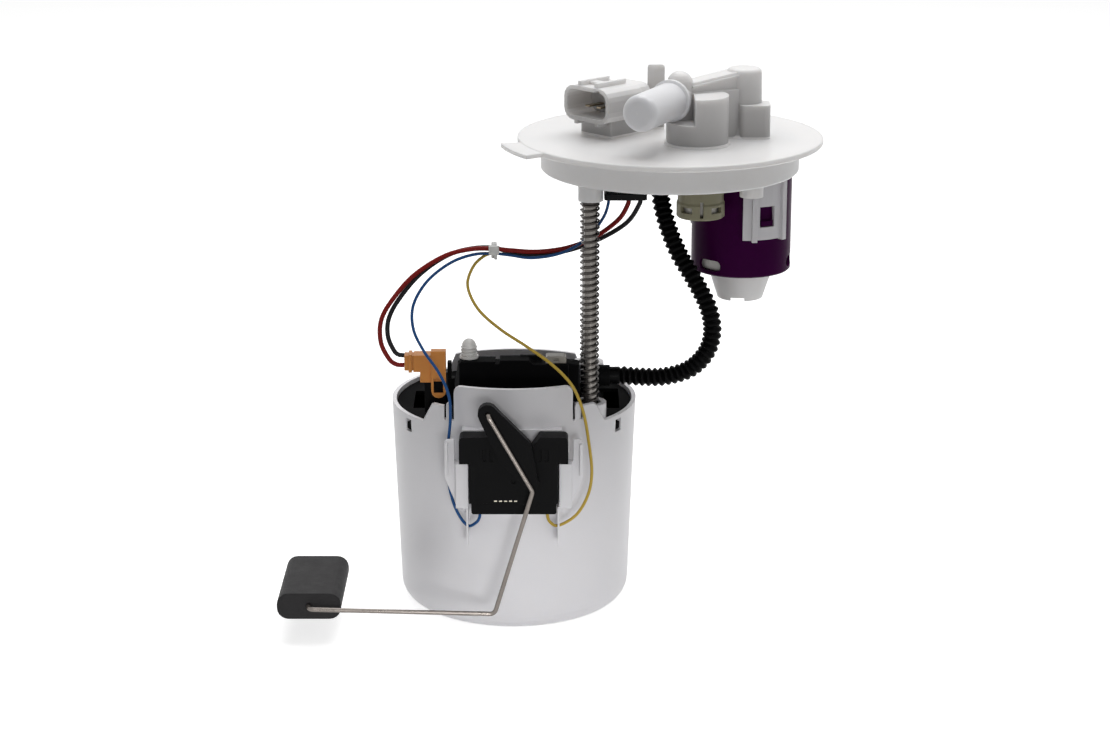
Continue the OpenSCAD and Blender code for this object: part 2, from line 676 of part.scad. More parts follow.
module vent_float() color([0.78, 0.76, 0.72]) {
    translate([can_x, 0, 0]) rotate_extrude()
        polygon([[0, vent_float_bottom + 3], [6, vent_float_bottom + 3], [8, vent_float_bottom],
        [vent_float_r - 1, vent_float_bottom], [vent_float_r, vent_float_bottom + 1],
            [vent_float_r, vent_float_top - 2],
        [vent_float_r - 2, vent_float_top], [4, vent_float_top], [2, vent_float_top + 4],
            [0, vent_float_top + 5]]);
}

module grade_can() color([0.36, 0.34, 0.2]) {
    translate([grade_pos[0], grade_pos[1], 0]) difference() {
        rotate_extrude() polygon([[0, -grade_bottom], [grade_r - 0.6, -grade_bottom],
            [grade_r, 0.6 - grade_bottom],
            [grade_r, 7 - grade_bottom], [grade_r - 0.5, 8 - grade_bottom], [grade_r - 0.5, deck_step],
                [0, deck_step]]);
        rotate_extrude() polygon([[0, grade_wall - grade_bottom],
            [grade_r - grade_wall - 0.5, grade_wall - grade_bottom],
            [grade_r - grade_wall - 0.5, -5], [0, -5]]);
        // Windows round the foot and the slit between them
        for (a = [-130, -50, 50, 130]) linear_extrude_between(3.2 - grade_bottom, 6 - grade_bottom,
            sector(grade_r - 3, grade_r + 1, a - 16, a + 16, 4));
        for (a = [-90, 90]) linear_extrude_between(1.4 - grade_bottom, 9 - grade_bottom,
            sector(grade_r - 3, grade_r + 1, a - 4, a + 4, 1));
    }
}

module grade_float() color([0.8, 0.78, 0.72]) {
    top = -5 - grade_float_lift - 5;
    bottom = grade_wall - grade_bottom + 0.3;
    r = grade_float_r - 0.5;
    translate([grade_pos[0], grade_pos[1], 0]) rotate_extrude()
        polygon([[0, bottom], [r - 1, bottom], [r, bottom + 1], [r, top - 1], [r - 1, top], [2, top],
            [0, top + 4.4]]);
}

module supply_hose() color([0.05, 0.05, 0.05]) at_bucket() swept_tube(HOSE_ROUTE, hose_d);
module red_lead() color([0.35, 0.02, 0.02]) at_bucket() swept_tube(RED_ROUTE, power_lead_d);
module black_lead() color([0.04, 0.04, 0.05]) at_bucket() swept_tube(BLACK_ROUTE, power_lead_d);
module blue_lead() color([0.1, 0.16, 0.36]) at_bucket() swept_tube(BLUE_ROUTE, signal_lead_d);
module yellow_lead() color([0.5, 0.4, 0.12]) at_bucket() swept_tube(YELLOW_ROUTE, signal_lead_d);

module lead_tie() color([0.88, 0.88, 0.86]) at_bucket() translate([-9, -23.6, 185.1]) {
    rotate([0, 90, 0]) translate([0, 0, -1.5]) difference() {
        cylinder(r = 3.6, h = 3);
        translate([0, 0, -1]) cylinder(r = 2.8, h = 5);
    }
    // Locking head in front of the bundle and the tail cut off below it
    block([-2.6, 2.6], [-6, -3.3], [-1.2, 3.3]);
    block([0.2, 1.6], [-4.8, -3.4], [-3.8, -1]);
}

// Height of the bucket's wall above the rim, looked at from the front
function front_skyline() = concat([[-90, rim_z], [-43.5, rim_z]],
    [[-39, rim_z + 9.4], [-37.6, rim_z + 10.3], [-32.8, rim_z + 10.3]],
    [[-32.8, rim_z + 3.6], [-31.9, rim_z + 3.6], [-31.9, rim_z + 10.5], [-31.1, rim_z + 12],
        [-29.9, rim_z + 12]],
    [[-29.1, rim_z + 10.5], [-29.1, rim_z + 3.6], [-28.1, rim_z + 3.6]],
        arc(-24.1, front_wall_z - 4, 4, 180, 90, 4),
    arc(25.1, front_wall_z - 4, 4, 90, 0, 4),
        [[29.1, rim_z + 3.6], [30.1, rim_z + 3.6], [30.1, rim_z + 10.5]],
    [[30.9, rim_z + 12], [32.1, rim_z + 12], [32.9, rim_z + 10.5], [32.9, rim_z + 3.6],
        [33.8, rim_z + 3.6]],
    [[33.8, rim_z + 10.3], [38.6, rim_z + 10.3], [40, rim_z + 9.4], [44.5, rim_z], [90, rim_z], [90, 200],
        [-90, 200]]);

function back_skyline() = [[-90, rim_z], [-34, rim_z], [-31, rim_z + 7], [31, rim_z + 7], [34, rim_z],
    [90, rim_z],
    [90, 200], [-90, 200]];

function bucket_r(z) = foot_r + (rim_r - foot_r) * z / rim_z;

// Outer radius of the pump cover's skirt, which follows the bucket's inner wall
function skirt_r_at(z) = bucket_r(z) - bucket_wall - cover_gap;

module reservoir() color([0.84, 0.84, 0.86]) at_bucket() {
    difference() {
        union() {
            bucket_shell();
            sender_pad();
            for (s = [-1, 1]) translate([rod_bx, s * rod_y, sleeve_bottom])
                cylinder(r = cup_r, h = cup_top - sleeve_bottom);
            translate([pivot_x, 0, pivot_z]) {
                for (side = [-1, 1]) sender_rail(side);
                for (x = lead_clip_x) translate([x - 0.5, -68, lead_clip_z - 9.4]) cube([1, 12, 20]);
            }
        }
        for (s = [-1, 1]) translate([rod_bx, s * rod_y, 0]) {
            translate([0, 0, sleeve_bottom - 1]) cylinder(r = rod_r + rod_clearance, h = sleeve_h + 2);
            translate([0, 0, sleeve_z]) cylinder(r = cup_bore_r, h = 20);
        }
        // Snap windows under the rim
        for (a = catch_angles) rotate([0, 0, a]) translate([rim_r - 8, -2.6, rim_z - 8.5])
            cube([12, 5.2, 6.3]);
        // Inlet holes and the seat of the umbrella valve's stem
        translate([inlet_pos[0], inlet_pos[1], -1]) {
            for (a = [0:72:359]) rotate([0, 0, a]) translate([4.6, 0, 0])
                cylinder(r = 1.4, h = floor_top + 2, $fn = 24);
            cylinder(r = 1.5, h = floor_top + 2, $fn = 24);
        }
        // Clip holes for the signal leads
        for (x = lead_clip_x) translate([pivot_x + x - 2, -64.5, pivot_z + lead_clip_z]) rotate([0, 90, 0])
            cylinder(r = signal_lead_d / 2 + 0.8, h = 4, $fn = 24);
    }
}

module bucket_shell() {
    tall = front_wall_z + 1;
    in_fillet = foot_fillet - bucket_wall;
    difference() {
        rotate_extrude($fn = 96) polygon(concat(
            [[0, foot_ring_h], [foot_r - foot_fillet - 3, foot_ring_h], [foot_r - foot_fillet - 2, 0],
                [foot_r - foot_fillet, 0]],
            arc(foot_r - foot_fillet, foot_fillet, foot_fillet, -72, 0, 5),
            [[bucket_r(tall), tall], [bucket_r(tall) - bucket_wall, tall],
                [foot_r - bucket_wall + 0.4, foot_fillet + 2]],
            arc(foot_r - foot_fillet, floor_top + in_fillet, in_fillet, 0, -90, 5), [[0, floor_top]]));
        // The rim's skyline in front and behind
        translate([0, eps, 0]) rotate([90, 0, 0]) linear_extrude(90) polygon(front_skyline());
        translate([0, 90, 0]) rotate([90, 0, 0]) linear_extrude(90) polygon(back_skyline());
    }
}

module sender_pad() {
    difference() {
        translate([-pad_half, -pad_y, pad_z[0]]) cube([2 * pad_half, pad_y - 50, pad_z[1] - pad_z[0]]);
        translate([0, 0, 10]) cylinder(r1 = bucket_r(10) - 1, r2 = bucket_r(126) - 1, h = 116, $fn = 96);
    }
}

// Rail that hooks the sender's edge, with the channel behind it for a signal lead
module sender_rail(side) {
    inner = housing_half + 0.35;
    low = -30.6;
    mirror([side > 0 ? 1 : 0, 0, 0]) {
        translate([0, -65, 0]) rotate([90, 0, 0]) linear_extrude(2.2) polygon(concat(
            arc(-31.6, 1, 1.5, 180, 90, 3), [[-28.4, 2.5], [-28.4, -8], [-inner, -8], [-inner, low]],
            [[-27.4, low], [-33.1, low + 14.2]]));
        translate([-33.1, -69, -15]) cube([1.6, 4.4, 16]);
        translate([-27.8, -71, low]) cube([27.8 - inner, 6.2, 22.4]);
        translate([-inner - 2.3, -67, low]) cube([2.3, 11.5, 22.6]);
    }
}

module inlet_valve() color([0.12, 0.12, 0.13]) at_bucket() translate([inlet_pos[0], inlet_pos[1], 0])
    rotate_extrude($fn = 32)
    polygon([[0, foot_ring_h - 1.2], [1, foot_ring_h - 1.2], [2.2, foot_ring_h - 0.3],
        [1.4, foot_ring_h - 0.2],
        [1.4, floor_top + 0.1], [7.4, floor_top + 0.1], [7.2, floor_top + 0.8], [2, floor_top + 2],
            [0, floor_top + 2.2]]);

// Felt pre-filter lying on the bucket's floor under the pump
module suction_strainer() color([0.8, 0.8, 0.76]) at_bucket() {
    translate([pump_pos[0] - 8, pump_pos[1], floor_top + 0.3]) {
        linear_extrude(2) polygon(rounded(52, 30, 9));
        translate([0, 0, 2 - eps]) linear_extrude(2.7 + eps) polygon(rounded(46, 24, 8));
    }
    translate([pump_pos[0] - 8, pump_pos[1], strainer_top - 2.1]) difference() {
        cylinder(r = 6.5, h = pump_base_z - strainer_top + 2);
        translate([0, 0, 2]) cylinder(r = 5, h = 20);
    }
}

module pump_shell() color([0.7, 0.7, 0.72]) at_bucket() translate([pump_pos[0], pump_pos[1], shell_z])
    difference() {
        cylinder(r = pump_r, h = pump_length);
        translate([0, 0, -1]) cylinder(r = shell_in_r, h = pump_length + 2);
    }

// Inlet end of the pump with its bearing, the bottom half of the impeller's chamber
module pump_base() color([0.2, 0.2, 0.2]) at_bucket() translate([pump_pos[0], pump_pos[1], 0]) {
    difference() {
        translate([0, 0, shell_z]) cylinder(r = shell_in_r - slip, h = pump_base_h);
        translate([0, 0, shell_z + 3]) cylinder(r = shaft_r + slip, h = 20);
        translate([-8, 0, shell_z - 1]) cylinder(r = 3, h = 20);
    }
    // Upper plate of the impeller's chamber
    difference() {
        translate([0, 0, shell_z + pump_base_h + 4 + 2 * impeller_gap])
            cylinder(r = shell_in_r - slip, h = 4);
        cylinder(r = shaft_r + slip, h = 60);
        rotate([0, 0, 180]) translate([-11, 0, 0]) cylinder(r = 2.2, h = 60);
    }
    difference() {
        translate([0, 0, shell_z + pump_base_h - eps])
            cylinder(r = shell_in_r - slip, h = 4 + 2 * impeller_gap + 2 * eps);
        cylinder(r = 16, h = 60);
    }
}

module pump_impeller() color([0.35, 0.3, 0.25]) at_bucket()
    translate([pump_pos[0], pump_pos[1], shell_z + pump_base_h + impeller_gap]) difference() {
        cylinder(r = 15.6, h = 4);
        translate([0, 0, -1]) cylinder(r = shaft_r + slip, h = 6);
        // Vane pockets round the rim
        for (a = [0:15:359]) rotate([0, 0, a]) translate([12.4, -1, -1]) cube([2.2, 2, 6]);
    }

module pump_armature() color([0.6, 0.4, 0.25]) at_bucket() translate([pump_pos[0], pump_pos[1], 0]) {
    difference() {
        union() {
            translate([0, 0, shell_z + 4]) cylinder(r = shaft_r, h = shaft_end - shell_z - 4);
            translate([0, 0, magnet_z]) cylinder(r = armature_r, h = magnet_h - 4);
            translate([0, 0, magnet_z + magnet_h - 4 - eps]) cylinder(r = 8, h = 5);
        }
        // Slots between the laminated poles
        for (a = [0:45:359]) rotate([0, 0, a]) translate([armature_r - 2, -0.8, magnet_z - 1])
            cube([4, 1.6, magnet_h]);
    }
}

module pump_magnets() color([0.15, 0.15, 0.17]) at_bucket()
    translate([pump_pos[0], pump_pos[1], magnet_z - 1])
    for (a = [0, 180]) rotate([0, 0, a]) rotate_extrude(angle = 140) translate([magnet_in_r, 0])
        square([magnet_t, magnet_h]);

module pump_top_cap() color([0.1, 0.1, 0.1]) at_bucket() translate([pump_pos[0], pump_pos[1], 0]) {
    difference() {
        union() {
            translate([0, 0, shell_top - 10]) cylinder(r = shell_in_r - slip, h = 10 + slip + eps);
            translate([0, 0, shell_top + slip]) cylinder(r = pump_r - 1, h = pump_cap_h);
            translate([stub_shift, 0, shell_top + pump_cap_h])
                cylinder(r = stub_r, h = hood_under - shell_top - pump_cap_h - seat_gap);
            translate([-13, -5, shell_top + pump_cap_h]) cube([6, 10, 4]);
        }
        translate([0, 0, shell_top - 14]) cylinder(r = shaft_r + slip,
            h = shaft_end + 0.4 - shell_top + 14);
        translate([stub_shift, 0, shell_top - 20])
            cylinder(r = stub_r - 1.4, h = hood_under - shell_top + 22);
        // Chamber for the commutator and brushes
        translate([0, 0, shell_top - 11]) cylinder(r = 9, h = 4);
    }
}

module pump_isolator() color([0.16, 0.16, 0.17]) at_bucket()
    translate([pump_pos[0], pump_pos[1], shell_z - 2])
    difference() {
        cylinder(r = pump_r + 1.8, h = 16);
        translate([0, 0, 2]) cylinder(r = pump_r + slip, h = 20);
        translate([0, 0, -1]) cylinder(r = pump_r - 3, h = 20);
        for (a = [0:60:359]) rotate([0, 0, a]) translate([pump_r + 0.9, -2, 5]) cube([3, 4, 20]);
    }

module jet_pump() color([0.8, 0.78, 0.7]) at_bucket() {
    translate([33.5, -20, floor_top + 3.5]) rotate([0, 0, 40]) {
        rotate([0, 90, 0]) difference() {
            union() {
                cylinder(r = 2.8, h = 14);
                translate([0, 0, -6]) cylinder(r1 = 1.8, r2 = 2.8, h = 6.2);
            }
            translate([0, 0, -8]) cylinder(r = 1.1, h = 30);
        }
        translate([-2, -3.2, -3.5 + 0.1]) cube([12, 6.4, 2]);
        translate([9, 0, 0]) cylinder(r = 2.2, h = 20);
    }
}

module pressure_regulator() color([0.72, 0.7, 0.6]) at_bucket()
    translate([regulator_pos[0], regulator_pos[1], 0]) {
    bottom = hood_under - 34;
    difference() {
        union() {
            translate([0, 0, bottom]) cylinder(r = 8.2, h = 16);
            translate([0, 0, bottom + 16 - eps]) cylinder(r = 10.2, h = 3);
            translate([0, 0, bottom + 19 - 2 * eps]) cylinder(r = regulator_neck_r, h = 15 - seat_gap);
            translate([0, 0, bottom - 5]) cylinder(r = 3, h = 5 + eps);
        }
        translate([0, 0, bottom - 6]) cylinder(r = 1.8, h = 10);
    }
}

// Moulded cover that carries the pump: a deck under the bucket's rim with a skirt and four catches,
// a low hood over pump and regulator, and a raised front
module pump_cover() color([0.07, 0.07, 0.07]) at_bucket() {
    foot = deck_top - cover_skirt;
    hood_size = [hood_x[1] - hood_x[0], hood_y[1] - hood_y[0]];
    difference() {
        union() {
            rotate_extrude($fn = 96) polygon([[0, deck_under],
                [skirt_r_at(deck_under) - cover_wall, deck_under],
                [skirt_r_at(foot) - cover_wall, foot], [skirt_r_at(foot), foot],
                    [skirt_r_at(deck_top), deck_top], [0, deck_top]]);
            for (a = catch_angles) rotate([0, 0, a])
                translate([skirt_r_at(deck_under) - 1, -2.2, rim_z - 7.6])
                cube([2.4 + cover_gap, 4.4, 3.4]);
            translate([(hood_x[0] + hood_x[1]) / 2, (hood_y[0] + hood_y[1]) / 2, deck_under])
                linear_extrude(hood_z - deck_under)
                polygon(rounded(hood_size[0], hood_size[1], 4));
            raised_front();
            // Duct from the pump's outlet to the elbow
            translate([pump_pos[0] + stub_shift, pump_pos[1], hood_z - 0.4]) rotate([0, 90, -35.4])
                cylinder(r = 3, h = 37.5);
        }
        translate([(hood_x[0] + hood_x[1]) / 2, (hood_y[0] + hood_y[1]) / 2, deck_under - 1])
            linear_extrude(hood_under - deck_under + 1)
            polygon(rounded(hood_size[0] - 2 * cover_wall, hood_size[1] - 2 * cover_wall, 2));
        block([cover_front[0] + cover_wall, wedge_end - 1.2], [front_y[0] + 2.8, front_y[1] - cover_wall],
            [deck_under - 1, cover_z - 3.5]);
        // Mouths that leave the fuel free to reach the jet pump and the pump's foot
        for (bay = [left_bay, right_mouth]) block(bay[0], bay[1], [deck_under - 1, deck_top + 1]);
        for (s = [-1, 1]) translate([rod_bx, s * rod_y, 0]) {
            translate([0, 0, foot - 1]) cylinder(r = cup_r + cover_gap, h = cup_top + 0.5 - foot + 1);
            cylinder(r = spring_od / 2 + 0.8, h = cover_z + 5);
        }
    }
    // Collar over the pump's outlet and seat of the regulator
    for (p = [[pump_pos[0] + stub_shift, pump_pos[1], stub_r + slip, 6],
        [regulator_pos[0], regulator_pos[1], regulator_neck_r + slip, 12]])
        translate([p[0], p[1], hood_under - p[3]]) difference() {
            cylinder(r = p[2] + 1.6, h = p[3] + eps);
            translate([0, 0, -1]) cylinder(r = p[2], h = p[3] + 1);
        }
}

// Raised front with its stepped top edge, and the wedge beside it that slopes to the elbow
module raised_front() {
    translate([0, front_y[1], 0]) rotate([90, 0, 0]) linear_extrude(front_y[1] - front_y[0]) polygon([
        [cover_front[0], deck_under], [cover_front[0], cover_z - 1], [cover_front[0] + 1, cover_z],
            [-8.5, cover_z],
        [-8.3, cover_z - 1.2], [-6.5, cover_z - 1.2], [-6.3, cover_z + 0.6], [7.7, cover_z + 0.6],
            [10.1, cover_z - 1.5],
        [cover_front[1], cover_z - 1.5], [cover_front[1], deck_under]]);
    translate([0, front_y[1] - 0.5, 0]) rotate([90, 0, 0]) linear_extrude(front_y[1] - front_y[0] - 1.5)
        polygon([
        [cover_front[1] - 1, deck_under], [wedge_end, deck_under], [wedge_end, cover_z - 1.9],
            [cover_front[1] - 1, cover_z - 0.9]]);
    block([3.5, 14.2], [front_y[1] - 2, front_y[1]], [cover_z - 2, cover_z + 1]);
}

module hose_elbow() color([0.06, 0.06, 0.06]) at_bucket() {
    foot = deck_top + seat_gap;
    pipe_x = hood_x[1] + 5;
    difference() {
        union() {
            translate([hood_x[1] + 0.1, hose_end[1] - 6, foot]) linear_extrude(elbow_top - foot)
                polygon([[0, 0.2], [2, 0], [4, 0], [7, 3], [7, 11], [5, 13], [0, 13]]);
            translate([pipe_x, hose_end[1], hose_end[2]]) rotate([0, 90, 0])
                cylinder(r = 5.2, h = hose_end[0] - pipe_x);
        }
        translate([pipe_x - 3, hose_end[1], hose_end[2]]) rotate([0, 90, 0]) cylinder(r = 2.4, h = 20);
    }
}

module return_nipple() color([0.85, 0.85, 0.82]) at_bucket() translate([-21.3, -31, cover_z + 0.05])
    rotate_extrude()
    polygon(concat([[0, 0], [4.6, 0], [4.6, 1.2], [3.6, 1.4], [4.1, 2.4], [3.5, 3], [4.1, 4], [3.5, 4.6],
        [4.1, 5.6], [3.5, 6.2]],
        arc(0, 6.2, 3.5, 0, 85, 5), [[0, 9.7]]));

module cover_clip() color([0.4, 0.38, 0.34]) at_bucket() translate([21, -33, cover_z - 1.5 + slip])
    difference() {
    translate([-5, 3, 0]) rotate([90, 0, 0]) linear_extrude(6) polygon(concat([[0, 0], [10, 0]],
        arc(8.8, 2.4, 1.2, 0, 90, 3), arc(1.2, 2.4, 1.2, 90, 180, 3)));
    translate([-1.4, -4, 1.4]) cube([2.8, 2.2, 1]);
}

// Post on the cover's deck that takes the pump's connector
module terminal_block() color([0.06, 0.06, 0.06]) at_bucket() {
    foot = deck_top + seat_gap;
    block([-43, -33], [-35.6, -29.4], [foot, connector_foot - seat_gap]);
    block([-34, post_x[1]], [-35, -30.6], [foot, foot + 7]);
    block(post_x, [-35, -30.6], [foot, connector_foot + 1.4]);
    block([post_x[0] - 0.4, post_x[0] + 1.6], [-34.4, -30], [connector_foot - 2, connector_foot + 9.3]);
}

module pump_connector() color([0.72, 0.42, 0.18]) at_bucket() {
    front = -38.4;
    top = connector_foot + 13.6;
    difference() {
        union() {
            block([-52.6, -48], [-36.4, -29.6], [connector_foot + 5.8, top - 0.4]);
            block([-50.6, -49], [-37.2, -28.8], [connector_foot + 5, top + 0.3]);
            block([-48.2, -32.6], [-37, -29], [connector_foot + 5.2, top]);
            block([-45, -32.8], [-37, -29.2], [connector_foot, connector_foot + 6]);
            // Latch tab with its window
            translate([-36, front + 1.4, 0]) rotate([90, 0, 0]) linear_extrude(1.4) polygon(concat(
                [[-3.6, top + 2.4], [-3.6, connector_foot - 4]],
                    arc(0, connector_foot - 4, 3.6, 180, 360, 6),
                [[3.6, connector_foot - 4], [3.6, top + 2.4]]));
            block([-39.6, -32.4], [front + 0.6, front + 5], [top - 2, top + 2.4]);
        }
        block([-38.4, -33.8], [front - 1, front + 3], [connector_foot - 5, connector_foot + 2.4]);
        for (p = [[-34.5, 130.3], [-31, 134.2]]) translate([-54, p[0], p[1]]) rotate([0, 90, 0])
            cylinder(r = power_lead_d / 2 - 0.1, h = 1.2);
    }
}

// Sender housing hooked between the bucket's rails, ears above and the terminal strip below
module sender_housing() color([0.05, 0.05, 0.05]) at_pivot() {
    ear = housing_half + 4.6;
    difference() {
        union() {
            translate([0, -housing_back, 0]) rotate([90, 0, 0]) linear_extrude(housing_front - housing_back)
                polygon(concat([[-housing_half, -27.7], [housing_half, -27.7], [housing_half, -7.8],
                    [ear, -7.8]],
                    arc(ear - 2, 3.4, 2, 0, 90, 3), [[12.4, 5.4], [8.3, -0.5], [4.3, -2.4], [-4.7, -2.4],
                        [-8.7, -0.5], [-11.8, 5.4]],
                    arc(2 - ear, 3.4, 2, 90, 180, 3), [[-ear, -7.8], [-housing_half, -7.8]]));
            translate([0, -housing_back - 1, 0]) rotate([90, 0, 0])
                linear_extrude(housing_front - housing_back - 2)
                polygon([[-20.4, -32.6], [-19.8, -33.4], [19.8, -33.4], [20.4, -32.6], [20.4, -27.6],
                    [-20.4, -27.6]]);
            translate([0, -holder_back + 0.2, 0]) rotate([-90, 0, 0]) cylinder(r = 5.6, h = 4);
        }
        translate([0, -holder_back - 1, 0]) rotate([-90, 0, 0]) cylinder(r = pivot_pin_r + slip, h = 8);
        // Pocket that holds the resistor card, open to the pad
        block([-16.8, 17.2], [-housing_back - 4, -housing_back + 1], [-24, -6]);
        // Sight holes beside the pivot, the gauge's dimple and the terminals' slots
        for (x = [-14.8, -11.4, 11.6, 15]) block([x, x + 1.6], [-housing_front - 1, -housing_front + 0.6],
            [-6.5, -0.5]);
        translate([0, -housing_front - 1, -16.4]) rotate([-90, 0, 0]) cylinder(r = 1.2, h = 1.8, $fn = 24);
        for (i = [0:4]) block([2.4 * i - 9.6, 2.4 * i - 7.9], [-housing_front - 1, -housing_front + 0.5],
            [-27, -26.1]);
    }
}

module resistor_card() color([0.75, 0.73, 0.66]) at_pivot()
    block([-16.4, 16.8], [-housing_back - 3.4, -housing_back - 2.4], [-23.6, -6.4]);

// Holder that clips round the wire and turns in the housing
module arm_holder() color([0.06, 0.06, 0.06]) at_pivot() {
    groove = arm_r + slip;
    lie = arm_knee - arm_top;
    difference() {
        union() {
            translate([0, -holder_back, 0]) rotate([90, 0, 0]) linear_extrude(holder_t) polygon(concat(
                arc(arm_top[0], arm_top[1], holder_tip_r, 30, 210, 8), arc(-2.3, -2.5, 5, 200, 235, 2),
                arc(8.7, -16, 3.6, 200, 400, 6), arc(3.8, 1.5, 5, 10, 40, 2)));
            translate([0, -holder_back - eps, 0]) rotate([-90, 0, 0]) cylinder(r = pivot_pin_r, h = 5);
        }
        translate([arm_top[0], -holder_front - 1, arm_top[1]]) {
            rotate([-90, 0, 0]) cylinder(r = groove, h = holder_t + 2);
            // Room for the wire's bend
            rotate([0, -atan2(lie[1], lie[0]), 0]) translate([0, 0, -groove])
                cube([arm_bend_r + 3, arm_bend_r + 1, 2 * groove]);
        }
    }
}

module wiper() color([0.75, 0.6, 0.3]) at_pivot() {
    translate([0, -holder_back + 5.1, 0]) rotate([-90, 0, 0]) cylinder(r = pivot_pin_r - 1, h = 0.6);
}

function at_wire(p, y) = [p[0], y, p[1]];

module float_arm() color([0.5, 0.49, 0.47]) at_pivot() {
    swept_tube(bent_route([at_wire(arm_top, -holder_back - 0.4), at_wire(arm_top, arm_y),
        at_wire(arm_knee, arm_y),
        at_wire(arm_low, arm_y), at_wire(float_pos, arm_y), at_wire(float_pos, float_front - 1)],
        arm_bend_r), arm_wire_d, 12);
    // Ground end that the float turns on
    translate(at_wire(float_pos, float_front - 2)) rotate([-90, 0, 0])
        cylinder(r = float_pin_r, h = float_length - 4);
}

module float() color([0.09, 0.09, 0.1]) at_pivot() {
    translate([float_pos[0], float_front + float_length, float_pos[1] - 0.4]) rotate([90, 0, 0])
        difference() {
        linear_extrude(float_length) polygon(rounded(float_w, float_h, 5.6, 5));
        translate([0, 0.4, -1]) cylinder(r = float_pin_r + float_clearance, h = float_length + 2);
    }
}

flange();
socket_pins();
outlet_cap();
wire_plug();
rod_front();
rod_rear();
rod_clips();
spring_front();
spring_rear();
vent_cage();
vent_can();
vent_nozzle();
vent_float();
grade_can();
grade_float();
supply_hose();
red_lead();
black_lead();
blue_lead();
yellow_lead();
lead_tie();
reservoir();
inlet_valve();
suction_strainer();
jet_pump();
pump_shell();
pump_top_cap();
pump_base();
pump_magnets();
pump_armature();
pump_impeller();
pump_isolator();
pressure_regulator();
pump_cover();
hose_elbow();
return_nipple();
cover_clip();
terminal_block();
pump_connector();
sender_housing();
resistor_card();
arm_holder();
wiper();
float_arm();
float();
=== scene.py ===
"""In-tank fuel pump module: finishes, springs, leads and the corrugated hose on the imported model.

Everything is in metres in the part's own frame: the origin is the centre of the head's seat on the tank,
+Z up, -Y on the level sender's side.
"""

import math

import bmesh
import bpy
from bpy.props import FloatProperty, FloatVectorProperty, IntProperty, PointerProperty
from bpy.types import Operator, Panel, PropertyGroup
from mathutils import Matrix, Vector


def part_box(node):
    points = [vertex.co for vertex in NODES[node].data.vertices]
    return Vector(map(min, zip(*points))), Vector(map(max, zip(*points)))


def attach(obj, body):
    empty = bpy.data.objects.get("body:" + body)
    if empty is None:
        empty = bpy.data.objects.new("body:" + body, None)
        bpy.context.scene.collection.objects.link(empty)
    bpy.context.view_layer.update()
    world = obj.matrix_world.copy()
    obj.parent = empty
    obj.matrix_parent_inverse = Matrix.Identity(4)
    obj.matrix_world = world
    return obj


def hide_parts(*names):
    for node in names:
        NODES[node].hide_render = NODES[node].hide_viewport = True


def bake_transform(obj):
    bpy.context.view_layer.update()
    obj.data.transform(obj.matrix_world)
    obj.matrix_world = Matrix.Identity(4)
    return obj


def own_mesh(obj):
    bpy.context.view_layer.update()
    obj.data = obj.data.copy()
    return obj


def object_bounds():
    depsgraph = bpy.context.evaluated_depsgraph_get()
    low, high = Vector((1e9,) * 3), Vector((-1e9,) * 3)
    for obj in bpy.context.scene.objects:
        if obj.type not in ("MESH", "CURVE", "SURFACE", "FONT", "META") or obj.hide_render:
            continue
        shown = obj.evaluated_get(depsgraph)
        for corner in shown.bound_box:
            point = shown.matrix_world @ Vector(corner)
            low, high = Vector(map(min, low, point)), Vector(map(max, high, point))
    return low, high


bl_info = {
    "name": "Fuel pump module",
    "version": (1, 0, 0),
    "blender": (4, 5, 0),
    "location": "View3D > Sidebar > Fuel pump",
    "description": "Finishes and flexible pieces of an in-tank fuel pump module",
    "category": "Object",
}

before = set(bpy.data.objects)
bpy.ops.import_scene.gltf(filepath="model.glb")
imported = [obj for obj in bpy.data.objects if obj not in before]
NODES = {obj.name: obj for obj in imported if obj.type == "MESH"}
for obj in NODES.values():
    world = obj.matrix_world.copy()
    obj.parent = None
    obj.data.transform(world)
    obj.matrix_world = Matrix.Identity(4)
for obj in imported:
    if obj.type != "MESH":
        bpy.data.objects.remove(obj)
CAD_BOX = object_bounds()

MM = 0.001

# Width of the photograph in pixels, and of the camera's sensor in millimetres
PHOTO_WIDTH = 1110
SENSOR_WIDTH = 36

BUCKET_LOW, BUCKET_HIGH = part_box("reservoir")
BUCKET_FOOT = Vector(((BUCKET_LOW.x + BUCKET_HIGH.x) / 2, 0, BUCKET_LOW.z))

# Points of the hose and the leads, in millimetres from the bucket's foot on its axis
HOSE_ROUTE = [(71.5, -15, 228), (71.5, -15, 218), (72, -15.5, 208), (75, -18, 196), (80.5, -22, 183),
              (88.5, -26, 170), (95, -28, 157), (97, -28, 145), (94, -27, 134), (86, -24, 125),
              (74, -21, 120.5), (62, -19, 119.8), (54, -18, 120.2), (47.5, -18, 120.2)]
RED_ROUTE = [(55.5, -30, 212.5), (55.5, -30, 209.5), (51, -27, 201), (40, -22.5, 191.5), (27, -22, 186),
             (12, -23, 184.1), (-1, -24.6, 185.2), (-9, -24.9, 186), (-20, -25.5, 186), (-33, -27.5, 183),
             (-47.5, -31.5, 174.5), (-58, -34.5, 163), (-63.5, -35.5, 153), (-63.8, -35.5, 142),
             (-60, -35, 133.5), (-56.5, -34.5, 130.6), (-52.8, -34.5, 130.3)]
BLACK_ROUTE = [(61, -30, 212.5), (61, -30, 209.5), (55, -25, 199), (42, -19.8, 189.6), (27, -19.6, 184),
               (12, -20.6, 182), (-1, -22, 183.6), (-9, -22.4, 185.9), (-20, -23, 185.7), (-32, -25, 182.5),
               (-45, -28.5, 174), (-55, -31.5, 162.5), (-60, -32, 153), (-60.6, -31.6, 144),
               (-58, -31.2, 137), (-55.8, -31, 134.6), (-52.8, -31, 134.2)]
